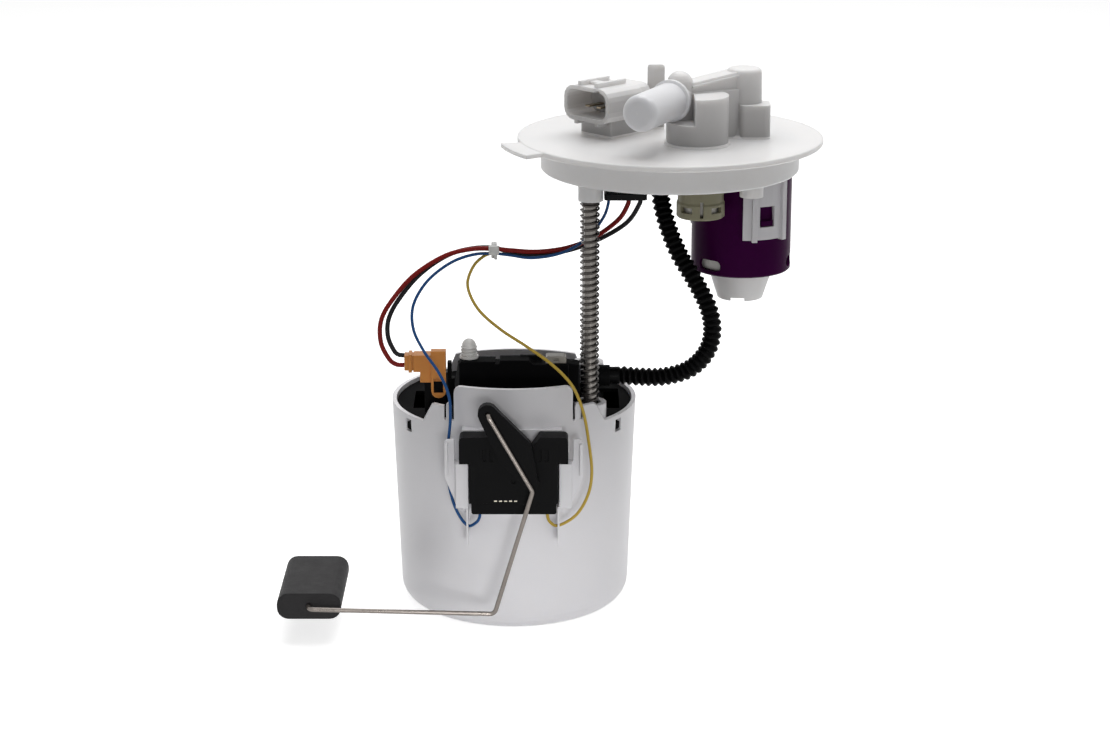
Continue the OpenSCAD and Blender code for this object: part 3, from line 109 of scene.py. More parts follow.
BLUE_ROUTE = [(46, -30, 212.5), (46, -30, 209.5), (43.6, -27.8, 202), (36, -26, 191.5), (24, -25.2, 184.2),
              (10, -24.8, 181.5), (-1, -24.4, 182.7), (-9, -24.6, 183.6), (-19, -26, 183.4), (-30, -29, 180),
              (-41, -33, 172), (-47.6, -38, 161.5), (-47.6, -43, 151), (-42.5, -48.5, 141.5), (-35, -54, 132),
              (-30.3, -58, 122), (-29.6, -59.8, 111), (-30.6, -60.6, 100), (-31, -61, 88), (-30.2, -61.2, 76),
              (-26.8, -62.6, 65), (-21.7, -64.5, 58.4), (-17.4, -66.2, 60.6), (-15.8, -67, 63.6),
              (-15.6, -67, 66.2)]
YELLOW_ROUTE = [(-9, -22.7, 183.6), (-14, -23.7, 182), (-19.2, -27.6, 177.5), (-21.6, -33, 169.5),
                (-16.5, -40, 160), (-6, -45.5, 151.6), (7, -51, 144.3), (19, -56.5, 137), (28.4, -60.5, 128),
                (33.8, -61.5, 115.5), (36.6, -60.5, 100), (38.2, -60, 84), (36.3, -61, 72.5),
                (30.6, -62.6, 63), (22.2, -64.5, 58.4), (18.3, -66.2, 60.6), (17, -67, 63.6),
                (16.9, -67, 66.2)]


def from_foot(x, y, z):
    """Point given in millimetres from the bucket's foot, in metres in the part's frame."""
    return BUCKET_FOOT + Vector((x, y, z)) * MM


class FuelPumpCords(PropertyGroup):
    """Sizes of the hose, the leads and the springs"""
    hose_radius: FloatProperty(name="Hose radius", description="Radius over the hose's ridges",
                               default=4.65 * MM, unit="LENGTH")
    hose_pitch: FloatProperty(name="Hose pitch", description="Distance from ridge to ridge",
                              default=3.1 * MM, unit="LENGTH")
    hose_groove: FloatProperty(name="Hose groove", description="Depth of the grooves",
                               default=1.25 * MM, unit="LENGTH")
    hose_cuff: FloatProperty(name="Hose cuff", description="Length of the plain cuff at each end",
                             default=5 * MM, unit="LENGTH")
    power_radius: FloatProperty(name="Power lead radius", description="Radius of the pump's leads",
                                default=1.15 * MM, unit="LENGTH")
    signal_radius: FloatProperty(name="Signal lead radius", description="Radius of the sender's leads",
                                 default=0.75 * MM, unit="LENGTH")
    spring_wire: FloatProperty(name="Spring wire", description="Diameter of the springs' wire",
                               default=1.1 * MM, unit="LENGTH")
    spring_coils: IntProperty(name="Spring coils", description="Working coils of a spring", default=34)
    slide_travel: FloatProperty(name="Travel", description="Travel of the bucket on its rods",
                                default=40 * MM, unit="LENGTH")


class FuelPumpFinishes(PropertyGroup):
    """Colours of the visible finishes"""
    acetal: FloatVectorProperty(name="Natural acetal", description="Tank head", subtype="COLOR",
                                default=(0.8, 0.79, 0.785))
    cap: FloatVectorProperty(name="Cap", description="Protective cap on the outlet", subtype="COLOR",
                             default=(0.8, 0.8, 0.82))
    bucket: FloatVectorProperty(name="Bucket", description="Reservoir bucket", subtype="COLOR",
                                default=(0.87, 0.86, 0.885))
    black: FloatVectorProperty(name="Black nylon", description="Cover, elbow, terminal post, plug and sender",
                               subtype="COLOR", default=(0.0045, 0.0045, 0.0048))
    purple: FloatVectorProperty(name="Vent can", description="Can of the fill-limit vent valve",
                                subtype="COLOR", default=(0.038, 0.001, 0.038))
    khaki: FloatVectorProperty(name="Grade valve", description="Can of the grade vent valve",
                               subtype="COLOR", default=(0.25, 0.235, 0.155))
    orange: FloatVectorProperty(name="Connector", description="Pump's connector", subtype="COLOR",
                                default=(0.57, 0.225, 0.05))
    float_rubber: FloatVectorProperty(name="Float", description="Closed-cell float", subtype="COLOR",
                                      default=(0.035, 0.034, 0.035))


class FuelPumpStage(PropertyGroup):
    """Camera, lamps and surrounding light"""
    camera_distance: FloatProperty(name="Camera distance", description="Distance from the point looked at",
                                   default=1.3, unit="LENGTH")
    camera_pitch: FloatProperty(name="Camera pitch", description="Angle at which the camera looks down",
                                default=math.radians(16.5), subtype="ANGLE")
    photo_focus: FloatProperty(name="Focal length", default=2600,
                               description="Focal length in pixels of the photograph's frame")
    world_strength: FloatProperty(name="World", description="Strength of the surrounding light", default=0.19)
    key_power: FloatProperty(name="Key lamp", description="Power of the lamp on the right in front",
                             default=0.9, subtype="POWER")
    top_power: FloatProperty(name="Top lamp", description="Power of the lamp above", default=20.0,
                             subtype="POWER")
    table_power: FloatProperty(name="Table lamp", description="Power of the low lamp in front of the foot",
                               default=0.08, subtype="POWER")
    fill_power: FloatProperty(name="Fill lamp", description="Power of the lamp on the left", default=0.35,
                              subtype="POWER")


class FuelPumpSettings(PropertyGroup):
    """All settings of the module"""
    cords: PointerProperty(type=FuelPumpCords)
    finishes: PointerProperty(type=FuelPumpFinishes)
    stage: PointerProperty(type=FuelPumpStage)


# Samples that round an edge, how fast the painted edge light grows with the bend, and the roughness of a
# clear coat
EDGE_SAMPLES = 6
EDGE_GAIN = 4.0
COAT_ROUGHNESS = 0.12

# Sockets of a Mix node that mixes colours, whose names aren't unique
MIX_FACTOR, MIX_FIRST, MIX_SECOND, MIX_RESULT = 0, 6, 7, 2


# Node groups shared by the finishes

def new_group(name, inputs, outputs):
    """Node group with the given sockets; returns its tree with the input and the output node."""
    tree = bpy.data.node_groups.new(name, "ShaderNodeTree")
    for label, socket, default in inputs:
        made = tree.interface.new_socket(name=label, in_out="INPUT", socket_type=socket)
        made.default_value = default
    for label, socket in outputs:
        tree.interface.new_socket(name=label, in_out="OUTPUT", socket_type=socket)
    return tree, tree.nodes.new("NodeGroupInput"), tree.nodes.new("NodeGroupOutput")


def moulding_tone_group():
    """Slow drift of colour and roughness over a moulding."""
    tree, given, out = new_group(
        "moulding_tone",
        [("Colour", "NodeSocketColor", (0.5, 0.5, 0.5, 1)), ("Drift", "NodeSocketFloat", 0.1),
         ("Size", "NodeSocketFloat", 40.0), ("Roughness", "NodeSocketFloat", 0.4)],
        [("Colour", "NodeSocketColor"), ("Roughness", "NodeSocketFloat")])
    place = tree.nodes.new("ShaderNodeTexCoord")
    noise = tree.nodes.new("ShaderNodeTexNoise")
    noise.inputs["Detail"].default_value = 4
    noise.inputs["Roughness"].default_value = 0.6
    tree.links.new(place.outputs["Object"], noise.inputs["Vector"])
    tree.links.new(given.outputs["Size"], noise.inputs["Scale"])
    centred = math_node(tree, "SUBTRACT", noise.outputs["Fac"], 0.5)
    swing = math_node(tree, "MULTIPLY", centred, given.outputs["Drift"])
    gain = math_node(tree, "ADD", swing, 1.0)
    scaled = tree.nodes.new("ShaderNodeVectorMath")
    scaled.operation = "SCALE"
    tree.links.new(given.outputs["Colour"], scaled.inputs[0])
    tree.links.new(gain, scaled.inputs["Scale"])
    tree.links.new(scaled.outputs[0], out.inputs["Colour"])
    tree.links.new(math_node(tree, "ADD", given.outputs["Roughness"], swing), out.inputs["Roughness"])
    return tree


def fine_grain_group():
    """Height of a fine grain, which may be stretched along Z."""
    tree, given, out = new_group(
        "fine_grain", [("Size", "NodeSocketFloat", 900.0), ("Stretch", "NodeSocketFloat", 1.0)],
        [("Height", "NodeSocketFloat")])
    place = tree.nodes.new("ShaderNodeTexCoord")
    stretch = tree.nodes.new("ShaderNodeCombineXYZ")
    stretch.inputs["X"].default_value = 1
    stretch.inputs["Y"].default_value = 1
    product = tree.nodes.new("ShaderNodeVectorMath")
    product.operation = "MULTIPLY"
    noise = tree.nodes.new("ShaderNodeTexNoise")
    noise.inputs["Detail"].default_value = 3
    tree.links.new(given.outputs["Stretch"], stretch.inputs["Z"])
    tree.links.new(place.outputs["Object"], product.inputs[0])
    tree.links.new(stretch.outputs[0], product.inputs[1])
    tree.links.new(product.outputs[0], noise.inputs["Vector"])
    tree.links.new(given.outputs["Size"], noise.inputs["Scale"])
    tree.links.new(noise.outputs["Fac"], out.inputs["Height"])
    return tree


def soft_edges_group():
    """Normal with moulded edges rounded, and a mask of those edges."""
    tree, given, out = new_group(
        "soft_edges", [("Radius", "NodeSocketFloat", 0.0004)],
        [("Normal", "NodeSocketVector"), ("Edge", "NodeSocketFloat")])
    bevel = tree.nodes.new("ShaderNodeBevel")
    bevel.samples = EDGE_SAMPLES
    true_normal = tree.nodes.new("ShaderNodeNewGeometry")
    dot = tree.nodes.new("ShaderNodeVectorMath")
    dot.operation = "DOT_PRODUCT"
    tree.links.new(given.outputs["Radius"], bevel.inputs["Radius"])
    tree.links.new(bevel.outputs[0], dot.inputs[0])
    tree.links.new(true_normal.outputs["Normal"], dot.inputs[1])
    away = math_node(tree, "SUBTRACT", 1.0, dot.outputs["Value"])
    tree.links.new(bevel.outputs[0], out.inputs["Normal"])
    tree.links.new(math_node(tree, "MULTIPLY", away, EDGE_GAIN, clamp=True), out.inputs["Edge"])
    return tree


def painted_wall_shade_group():
    """Painted shade on upright walls: darkest at a height and plain at the reach from it, and plain on level
    faces.
    """
    tree, given, out = new_group(
        "painted_wall_shade",
        [("Colour", "NodeSocketColor", (0.5, 0.5, 0.5, 1)), ("Darkest", "NodeSocketFloat", 0.0),
         ("Reach", "NodeSocketFloat", 0.04), ("Shade", "NodeSocketFloat", 0.45)],
        [("Colour", "NodeSocketColor")])
    place = tree.nodes.new("ShaderNodeTexCoord")
    point = tree.nodes.new("ShaderNodeSeparateXYZ")
    facing = tree.nodes.new("ShaderNodeSeparateXYZ")
    tree.links.new(place.outputs["Object"], point.inputs[0])
    tree.links.new(place.outputs["Normal"], facing.inputs[0])
    height = math_node(tree, "SUBTRACT", point.outputs["Z"], given.outputs["Darkest"])
    way = math_node(tree, "DIVIDE", height, given.outputs["Reach"])
    past = math_node(tree, "GREATER_THAN", way, 0.0)
    near = math_node(tree, "SUBTRACT", 1.0, way, clamp=True)
    level = math_node(tree, "ABSOLUTE", facing.outputs["Z"])
    upright = math_node(tree, "SUBTRACT", 1.0, level, clamp=True)
    share = math_node(tree, "MULTIPLY", math_node(tree, "MULTIPLY", past, near), upright)
    gain = math_node(tree, "SUBTRACT", 1.0, math_node(tree, "MULTIPLY", share, given.outputs["Shade"]))
    scaled = tree.nodes.new("ShaderNodeVectorMath")
    scaled.operation = "SCALE"
    tree.links.new(given.outputs["Colour"], scaled.inputs[0])
    tree.links.new(gain, scaled.inputs["Scale"])
    tree.links.new(scaled.outputs[0], out.inputs["Colour"])
    return tree


def math_node(tree, operation, first, second=0.0, clamp=False):
    """Math node on one or two numbers or sockets; returns its output socket."""
    node = tree.nodes.new("ShaderNodeMath")
    node.operation = operation
    node.use_clamp = clamp
    for socket, value in zip(node.inputs, (first, second)):
        if isinstance(value, (int, float)):
            socket.default_value = value
        else:
            tree.links.new(value, socket)
    return node.outputs[0]


GROUPS = {}


def shared_group(name):
    """Shared node group, built the first time that it is asked for."""
    makers = {"moulding_tone": moulding_tone_group, "fine_grain": fine_grain_group,
              "soft_edges": soft_edges_group, "painted_wall_shade": painted_wall_shade_group}
    if name not in GROUPS:
        GROUPS[name] = makers[name]()
    return GROUPS[name]


def place_group(tree, name, **values):
    """Shared group placed in a material with the material's own values."""
    node = tree.nodes.new("ShaderNodeGroup")
    node.node_tree = shared_group(name)
    for label, value in values.items():
        node.inputs[label].default_value = value
    return node


def finish_material(name, colour, roughness, metallic=0.0, drift=0.08, drift_size=40.0, grain_size=900.0,
                    grain_depth=0.00003, stretch=1.0, edge=0.0004, edge_colour=None, edge_share=0.5,
                    subsurface=0.0, depth=0.0025, coat=0.0, specular=0.5):
    """Procedural material with a drifting tone, fine grain, rounded edges and, where given, painted edge
    light.

    Sizes and depths are in metres. An edge of 0 leaves the edges as they are modelled.
    """
    material = bpy.data.materials.new(name)
    material.use_nodes = True
    tree = material.node_tree
    shader = tree.nodes["Principled BSDF"]
    shader.inputs["Metallic"].default_value = metallic
    shader.inputs["Specular IOR Level"].default_value = specular
    shader.inputs["Coat Weight"].default_value = coat
    shader.inputs["Coat Roughness"].default_value = COAT_ROUGHNESS
    if subsurface:
        shader.inputs["Subsurface Weight"].default_value = subsurface
        shader.inputs["Subsurface Radius"].default_value = (1.0, 0.95, 0.9)
        shader.inputs["Subsurface Scale"].default_value = depth
    tone = place_group(tree, "moulding_tone", Colour=(*colour, 1), Drift=drift, Size=drift_size,
                       Roughness=roughness)
    tree.links.new(tone.outputs["Roughness"], shader.inputs["Roughness"])
    base = tone.outputs["Colour"]
    bump = tree.nodes.new("ShaderNodeBump")
    bump.inputs["Strength"].default_value = 1.0
    bump.inputs["Distance"].default_value = grain_depth
    grain = place_group(tree, "fine_grain", Size=grain_size, Stretch=stretch)
    tree.links.new(grain.outputs["Height"], bump.inputs["Height"])
    if edge:
        rounded = place_group(tree, "soft_edges", Radius=edge)
        tree.links.new(rounded.outputs["Normal"], bump.inputs["Normal"])
        # Colour painted along the edges: a lighter one is a painted highlight, a darker one painted shade
        if edge_colour:
            mix = tree.nodes.new("ShaderNodeMix")
            mix.data_type = "RGBA"
            mix.inputs[MIX_SECOND].default_value = (*edge_colour, 1)
            share = math_node(tree, "MULTIPLY", rounded.outputs["Edge"], edge_share)
            tree.links.new(share, mix.inputs[MIX_FACTOR])
            tree.links.new(base, mix.inputs[MIX_FIRST])
            base = mix.outputs[MIX_RESULT]
    tree.links.new(base, shader.inputs["Base Color"])
    tree.links.new(bump.outputs["Normal"], shader.inputs["Normal"])
    return material


def paint_wall_shade(material, darkest, reach, shade):
    """Paints shade on a material's upright walls from a height on, less and less over the reach.

    A reach above 0 goes up from that height, and one below 0 goes down.
    """
    tree = material.node_tree
    colour = tree.nodes["Principled BSDF"].inputs["Base Color"]
    walls = place_group(tree, "painted_wall_shade", Darkest=darkest, Reach=reach, Shade=shade)
    tree.links.new(colour.links[0].from_socket, walls.inputs["Colour"])
    tree.links.new(walls.outputs["Colour"], colour)


def dress(nodes, name, colour, roughness, **look):
    """Gives one or more CAD nodes, named in one string, a material of their own; returns the material."""
    material = finish_material(name, colour, roughness, **look)
    for node in nodes.split():
        slots = NODES[node].data.materials
        slots.clear()
        slots.append(material)
    return material


# Shapes along a route

# Steps that measure the curve between two of a route's points
ROUTE_STEPS = 24

# Angle up to which faces are shaded smooth into each other
SMOOTH_ANGLE = math.radians(40)


def smooth_route(points, spacing):
    """Evenly spaced points on a smooth curve through a route's points, and the curve's length."""
    knots = [from_foot(*p) for p in points]
    knots = [knots[0] * 2 - knots[1]] + knots + [knots[-1] * 2 - knots[-2]]
    dense = []
    for i in range(1, len(knots) - 2):
        a, b, c, d = knots[i - 1:i + 3]
        for k in range(ROUTE_STEPS):
            t = k / ROUTE_STEPS
            dense.append(0.5 * ((2 * b) + (c - a) * t + (2 * a - 5 * b + 4 * c - d) * t ** 2
                                + (3 * b - a - 3 * c + d) * t ** 3))
    dense.append(knots[-2])
    total = sum((q - p).length for p, q in zip(dense, dense[1:]))
    count = max(2, round(total / spacing))
    evened, walked, index = [dense[0]], 0.0, 0
    for n in range(1, count):
        target = total * n / count
        while walked + (dense[index + 1] - dense[index]).length < target:
            walked += (dense[index + 1] - dense[index]).length
            index += 1
        step = dense[index + 1] - dense[index]
        evened.append(dense[index] + step * ((target - walked) / step.length))
    evened.append(dense[-1])
    return evened, total


def tube_piece(name, points, radii, resolution):
    """Capped tube through points with a radius at each, as a mesh at the origin."""
    curve = bpy.data.curves.new(name, "CURVE")
    curve.dimensions = "3D"
    curve.bevel_depth = 1.0
    curve.bevel_resolution = resolution
    curve.use_fill_caps = True
    spline = curve.splines.new("POLY")
    spline.points.add(len(points) - 1)
    for knot, point, radius in zip(spline.points, points, radii):
        knot.co = (*point, 1)
        knot.radius = radius
    drawn = bpy.data.objects.new(name + "_line", curve)
    bpy.context.scene.collection.objects.link(drawn)
    mesh = bpy.data.meshes.new_from_object(drawn.evaluated_get(bpy.context.evaluated_depsgraph_get()))
    bpy.data.objects.remove(drawn)
    mesh.name = name
    shape = bmesh.new()
    shape.from_mesh(mesh)
    bmesh.ops.remove_doubles(shape, verts=shape.verts, dist=1e-7)
    bmesh.ops.recalc_face_normals(shape, faces=shape.faces)
    return piece_from(name, shape, mesh)


def piece_from(name, shape, mesh=None):
    """Object at the origin from a bmesh, in the given mesh or a new one, and shaded smooth."""
    mesh = mesh or bpy.data.meshes.new(name)
    shape.to_mesh(mesh)
    shape.free()
    mesh.materials.clear()
    piece = bpy.data.objects.new(name, mesh)
    bpy.context.scene.collection.objects.link(piece)
    mesh.shade_smooth()
    mesh.set_sharp_from_angle(angle=SMOOTH_ANGLE)
    return piece


def add_box(shape, low, high, bevel):
    """Adds a box between two corners to a bmesh, with bevelled edges."""
    made = bmesh.ops.create_cube(shape, size=1.0)["verts"]
    bmesh.ops.scale(shape, vec=high - low, verts=made)
    bmesh.ops.translate(shape, vec=(low + high) / 2, verts=made)
    edges = list({e for v in made for e in v.link_edges})
    bmesh.ops.bevel(shape, geom=edges, offset=bevel, offset_type="OFFSET", affect="EDGES", segments=2,
                    profile=0.5, material=-1, clamp_overlap=True)


# Half the floor's width in metres, its paint, and the light that it adds where it is seen directly
FLOOR_REACH = 6
FLOOR_COLOUR = (0.9, 0.9, 0.9, 1)
FLOOR_GLOW = 0.7
WHITE = (1, 1, 1, 1)

# Point that the photograph is centred on, in millimetres from the bucket's foot
CAMERA_AIM = (20.5, 0, 117.546)

# Nothing nearer to the camera than this is drawn
CLIP_START = 50 * MM


class FUELPUMP_OT_stage(Operator):
    """Builds the pale floor, the soft lamps and the camera at the photograph's viewpoint"""
    bl_idname = "fuelpump.stage"
    bl_label = "Stage"

    def execute(self, context):
        stage = context.scene.fuel_pump.stage
        shape = bmesh.new()
        bmesh.ops.create_grid(shape, x_segments=1, y_segments=1, size=FLOOR_REACH)
        bmesh.ops.translate(shape, vec=(0, 0, CAD_BOX[0][2]), verts=shape.verts)
        floor = piece_from("floor", shape)
        floor.data.materials.append(floor_material())
        add_world(stage.world_strength)
        middle = (Vector(CAD_BOX[0]) + Vector(CAD_BOX[1])) / 2
        add_lamp("key", Vector((0.75, -1.0, 0.75)), middle, size=0.9, power=stage.key_power)
        add_lamp("top", Vector((0.1, 0.32, 1.3)), middle, size=1.5, power=stage.top_power)
        add_lamp("fill", Vector((-1.1, -0.7, 0.5)), middle, size=0.8, power=stage.fill_power)
        add_lamp("table", from_foot(100, -700, 60), from_foot(0, 0, -5), size=0.25, power=stage.table_power,
                 spread=math.radians(24))
        add_camera(stage)
        context.scene.view_settings.view_transform = "Standard"
        return {"FINISHED"}


def seen_directly(tree):
    """Socket that is 1 on rays from the camera and on rays mirrored or passed through to it."""
    path = tree.nodes.new("ShaderNodeLightPath")
    first = math_node(tree, "ADD", path.outputs["Is Camera Ray"], path.outputs["Is Glossy Ray"], clamp=True)
    return math_node(tree, "ADD", first, path.outputs["Is Transmission Ray"], clamp=True)


def add_world(strength):
    """Surroundings that are plain white where they are seen directly, and light the part less than that."""
    world = bpy.data.worlds.new("studio")
    bpy.context.scene.world = world
    world.use_nodes = True
    tree = world.node_tree
    background = tree.nodes["Background"]
    background.inputs["Color"].default_value = WHITE
    seen = seen_directly(tree)
    lit = math_node(tree, "MULTIPLY", math_node(tree, "SUBTRACT", 1.0, seen), strength)
    tree.links.new(math_node(tree, "ADD", lit, seen), background.inputs["Strength"])


def floor_material():
    """White floor that shows plain white to the camera and keeps the object's shadow."""
    material = bpy.data.materials.new("floor_white")
    material.use_nodes = True
    tree = material.node_tree
    shader = tree.nodes["Principled BSDF"]
    shader.inputs["Base Color"].default_value = FLOOR_COLOUR
    shader.inputs["Roughness"].default_value = 0.9
    shader.inputs["Specular IOR Level"].default_value = 0.0
    shader.inputs["Emission Color"].default_value = WHITE
    glow = math_node(tree, "MULTIPLY", seen_directly(tree), FLOOR_GLOW)
    tree.links.new(glow, shader.inputs["Emission Strength"])
    return material


def add_lamp(name, place, aim, size, power, spread=math.pi):
    """Square soft lamp aimed at a point."""
    data = bpy.data.lights.new(name, "AREA")
    data.spread = spread
    data.size = size
    data.energy = power
    lamp = bpy.data.objects.new(name, data)
    lamp.location = place
    lamp.rotation_euler = (aim - place).to_track_quat("-Z", "Y").to_euler()
    bpy.context.scene.collection.objects.link(lamp)


def add_camera(stage):
    """Camera at the photograph's viewpoint."""
    data = bpy.data.cameras.new("photo_view")
    data.sensor_width = SENSOR_WIDTH
    data.lens = SENSOR_WIDTH * stage.photo_focus / PHOTO_WIDTH
    data.clip_start = CLIP_START
    camera = bpy.data.objects.new("photo_view", data)
    aim = from_foot(*CAMERA_AIM)
    pitch = stage.camera_pitch
    camera.location = aim + Vector((0, -math.cos(pitch), math.sin(pitch))) * stage.camera_distance
    camera.rotation_euler = (math.pi / 2 - pitch, 0, 0)
    bpy.context.scene.collection.objects.link(camera)
    bpy.context.scene.camera = camera


# Rings of the hose's mesh in one ridge, how round the ridges are, the angle up to which they are shaded
# smooth, and how far the cuffs lie under them
RIDGE_RINGS = 8
RIDGE_ROUNDNESS = 0.65
RIDGE_SMOOTH_ANGLE = math.radians(80)
CUFF_INSET = 0.35 * MM


class FUELPUMP_OT_hose(Operator):
    """Corrugated supply hose from the cover's elbow to the head"""
    bl_idname = "fuelpump.hose"
    bl_label = "Supply hose"

    def execute(self, context):
        cords = context.scene.fuel_pump.cords
        points, total = smooth_route(HOSE_ROUTE, cords.hose_pitch / RIDGE_RINGS)
        radii = []
        for n in range(len(points)):
            along = total * n / (len(points) - 1)
            ends = min(along, total - along)
            wave = 0.5 - 0.5 * math.cos(2 * math.pi * along / cords.hose_pitch)
            ridge = cords.hose_radius - cords.hose_groove * (1 - wave ** RIDGE_ROUNDNESS)
            radii.append(cords.hose_radius - CUFF_INSET if ends < cords.hose_cuff else ridge)
        hose = tube_piece("corrugated_hose", points, radii, resolution=8)
        hose.data.set_sharp_from_angle(angle=RIDGE_SMOOTH_ANGLE)
        hose.data.materials.append(finish_material(
            "hose_nylon", (0.002, 0.002, 0.0022), 0.35, drift=0.25, grain_size=500, edge=0, specular=0.04))
        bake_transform(hose)
        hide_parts("supply_hose")
        return {"FINISHED"}


# Distance from ring to ring of the leads' meshes
LEAD_SPACING = 1.2 * MM


class FUELPUMP_OT_leads(Operator):
    """Power leads to the pump's connector and signal leads to the level sender"""
    bl_idname = "fuelpump.leads"
    bl_label = "Leads"

    def execute(self, context):
        cords = context.scene.fuel_pump.cords
        spans = [("red_lead", RED_ROUTE, cords.power_radius, (0.2, 0.008, 0.006), True),
                 ("black_lead", BLACK_ROUTE, cords.power_radius, (0.012, 0.012, 0.014), True),
                 ("blue_lead", BLUE_ROUTE, cords.signal_radius, (0.015, 0.07, 0.21), True),
                 ("yellow_lead", YELLOW_ROUTE, cords.signal_radius, (0.46, 0.32, 0.055), False)]
        for node, route, radius, colour, crosses in spans:
            points, _ = smooth_route(route, LEAD_SPACING)
            lead = tube_piece(node + "_insulation", points, [radius] * len(points), resolution=3)
            lead.data.materials.append(finish_material(
                node, colour, 0.4, drift=0.25, drift_size=90, grain_size=700, edge=0, specular=0.12))
            if crosses:
                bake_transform(lead)
            else:
                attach(lead, "reservoir")
            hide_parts(node)
        return {"FINISHED"}


# Turns that lie closed at each end of a spring, their rise in wire diameters, and points in one turn
CLOSED_TURNS = 1.5
CLOSED_PITCH = 1.08
TURN_POINTS = 28


def spring_points(low, high, wire, coils):
    """Centre line of a compression spring with closed ends that fills the box between two corners."""
    centre = (low + high) / 2
    radius = (high.x - low.x - wire) / 2
    turns = coils + 2 * CLOSED_TURNS
    bottom, top = low.z + wire / 2, high.z - wire / 2
    closed_rise = CLOSED_TURNS * wire * CLOSED_PITCH
    open_rise = top - bottom - 2 * closed_rise
    points = []
    for n in range(round(turns * TURN_POINTS) + 1):
        turn = n / TURN_POINTS
        if turn < CLOSED_TURNS:
            z = bottom + turn / CLOSED_TURNS * closed_rise
        elif turn > turns - CLOSED_TURNS:
            z = top - (turns - turn) / CLOSED_TURNS * closed_rise
        else:
            z = bottom + closed_rise + (turn - CLOSED_TURNS) / coils * open_rise
        angle = 2 * math.pi * turn
        points.append(Vector((centre.x + radius * math.cos(angle), centre.y + radius * math.sin(angle), z)))
    return points


class FUELPUMP_OT_springs(Operator):
    """Compression springs round the two guide rods"""
    bl_idname = "fuelpump.springs"
    bl_label = "Springs"

    def execute(self, context):
        cords = context.scene.fuel_pump.cords
        material = finish_material("spring_steel", (0.062, 0.056, 0.052), 0.3, metallic=1.0, drift=0.35,
                                   drift_size=160, grain_size=2500, edge=0)
        for node in ("spring_front", "spring_rear"):
            low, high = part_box(node)
            points = spring_points(low, high, cords.spring_wire, cords.spring_coils)
            spring = tube_piece(node + "_wire", points, [cords.spring_wire / 2] * len(points), resolution=2)
            spring.data.materials.append(material)
            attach(spring, "head")
            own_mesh(spring)
            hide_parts(node)
        return {"FINISHED"}


# Cable tie, in millimetres: its centre from the bucket's foot, its band, and the lowest and highest corners
# of its head and of its strap's cut end from its centre
TIE_CENTRE = (-9, -23.6, 185.1)
TIE_RADIUS = 3.55
TIE_WIDTH = 2.5
TIE_THICKNESS = 0.5
TIE_SEGMENTS = 28
TIE_HEAD = ((-2.5, -5.9, -1.2), (2.5, -3.4, 3.2))
TIE_HEAD_BEVEL = 0.4
TIE_TAIL = ((0.2, -4.8, -3.7), (1.6, -3.6, -1.0))
TIE_TAIL_BEVEL = 0.2


class FUELPUMP_OT_lead_tie(Operator):
    """Cable tie that bundles the leads"""
    bl_idname = "fuelpump.lead_tie"
    bl_label = "Cable tie"

    def execute(self, context):
        shape = bmesh.new()
        ring = bmesh.ops.create_circle(shape, segments=TIE_SEGMENTS, radius=TIE_RADIUS * MM)["verts"]
        bmesh.ops.rotate(shape, verts=ring, matrix=Matrix.Rotation(math.radians(90), 3, "Y"))
        bmesh.ops.translate(shape, verts=ring, vec=(-TIE_WIDTH / 2 * MM, 0, 0))
        band = bmesh.ops.extrude_edge_only(shape, edges=shape.edges[:])["geom"]
        far_ring = [v for v in band if isinstance(v, bmesh.types.BMVert)]
        bmesh.ops.translate(shape, verts=far_ring, vec=(TIE_WIDTH * MM, 0, 0))
        bmesh.ops.recalc_face_normals(shape, faces=shape.faces)
        bmesh.ops.solidify(shape, geom=shape.faces[:], thickness=-TIE_THICKNESS * MM)
        for (low, high), bevel in ((TIE_HEAD, TIE_HEAD_BEVEL), (TIE_TAIL, TIE_TAIL_BEVEL)):
            add_box(shape, Vector(low) * MM, Vector(high) * MM, bevel=bevel * MM)
        bmesh.ops.translate(shape, verts=shape.verts, vec=from_foot(*TIE_CENTRE))
        tie = piece_from("cable_tie", shape)
        tie.data.materials.append(finish_material("tie_nylon", (0.62, 0.62, 0.6), 0.4, subsurface=0.2,
                                                  edge=0.0002))
        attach(tie, "reservoir")
        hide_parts("lead_tie")
        return {"FINISHED"}


class FUELPUMP_OT_head(Operator):
    """Finishes of the tank head, its cap, pins, plug and guide rods"""
    bl_idname = "fuelpump.head"
    bl_label = "Tank head"

    def execute(self, context):
        colours = context.scene.fuel_pump.finishes
        head = dress("flange", "natural_acetal", colours.acetal, 0.38, drift=0.1, drift_size=28,
                     subsurface=0.7, depth=0.006, edge=0.0006)
        # Painted shade at the feet of the head's upright walls, where they stand on the disc
        paint_wall_shade(head, darkest=4 * MM, reach=30 * MM, shade=0.48)
        dress("outlet_cap", "cap_polyethylene", colours.cap, 0.3, drift=0.06, subsurface=0.35, edge=0.0004,
              coat=0.15)
        dress("socket_pins", "tinned_brass", (0.3, 0.25, 0.18), 0.35, metallic=1.0, edge=0.0002)
        dress("wire_plug", "plug_nylon", colours.black, 0.45, drift=0.3, edge=0.0004, specular=0.08)
        dress("rod_front rod_rear", "rod_steel", (0.16, 0.15, 0.14), 0.28, metallic=1.0, drift=0.2,
              grain_size=1500, stretch=12, edge=0.0003)
        dress("rod_clips", "clip_steel", (0.3, 0.29, 0.28), 0.4, metallic=1.0, edge=0.0002)
        return {"FINISHED"}


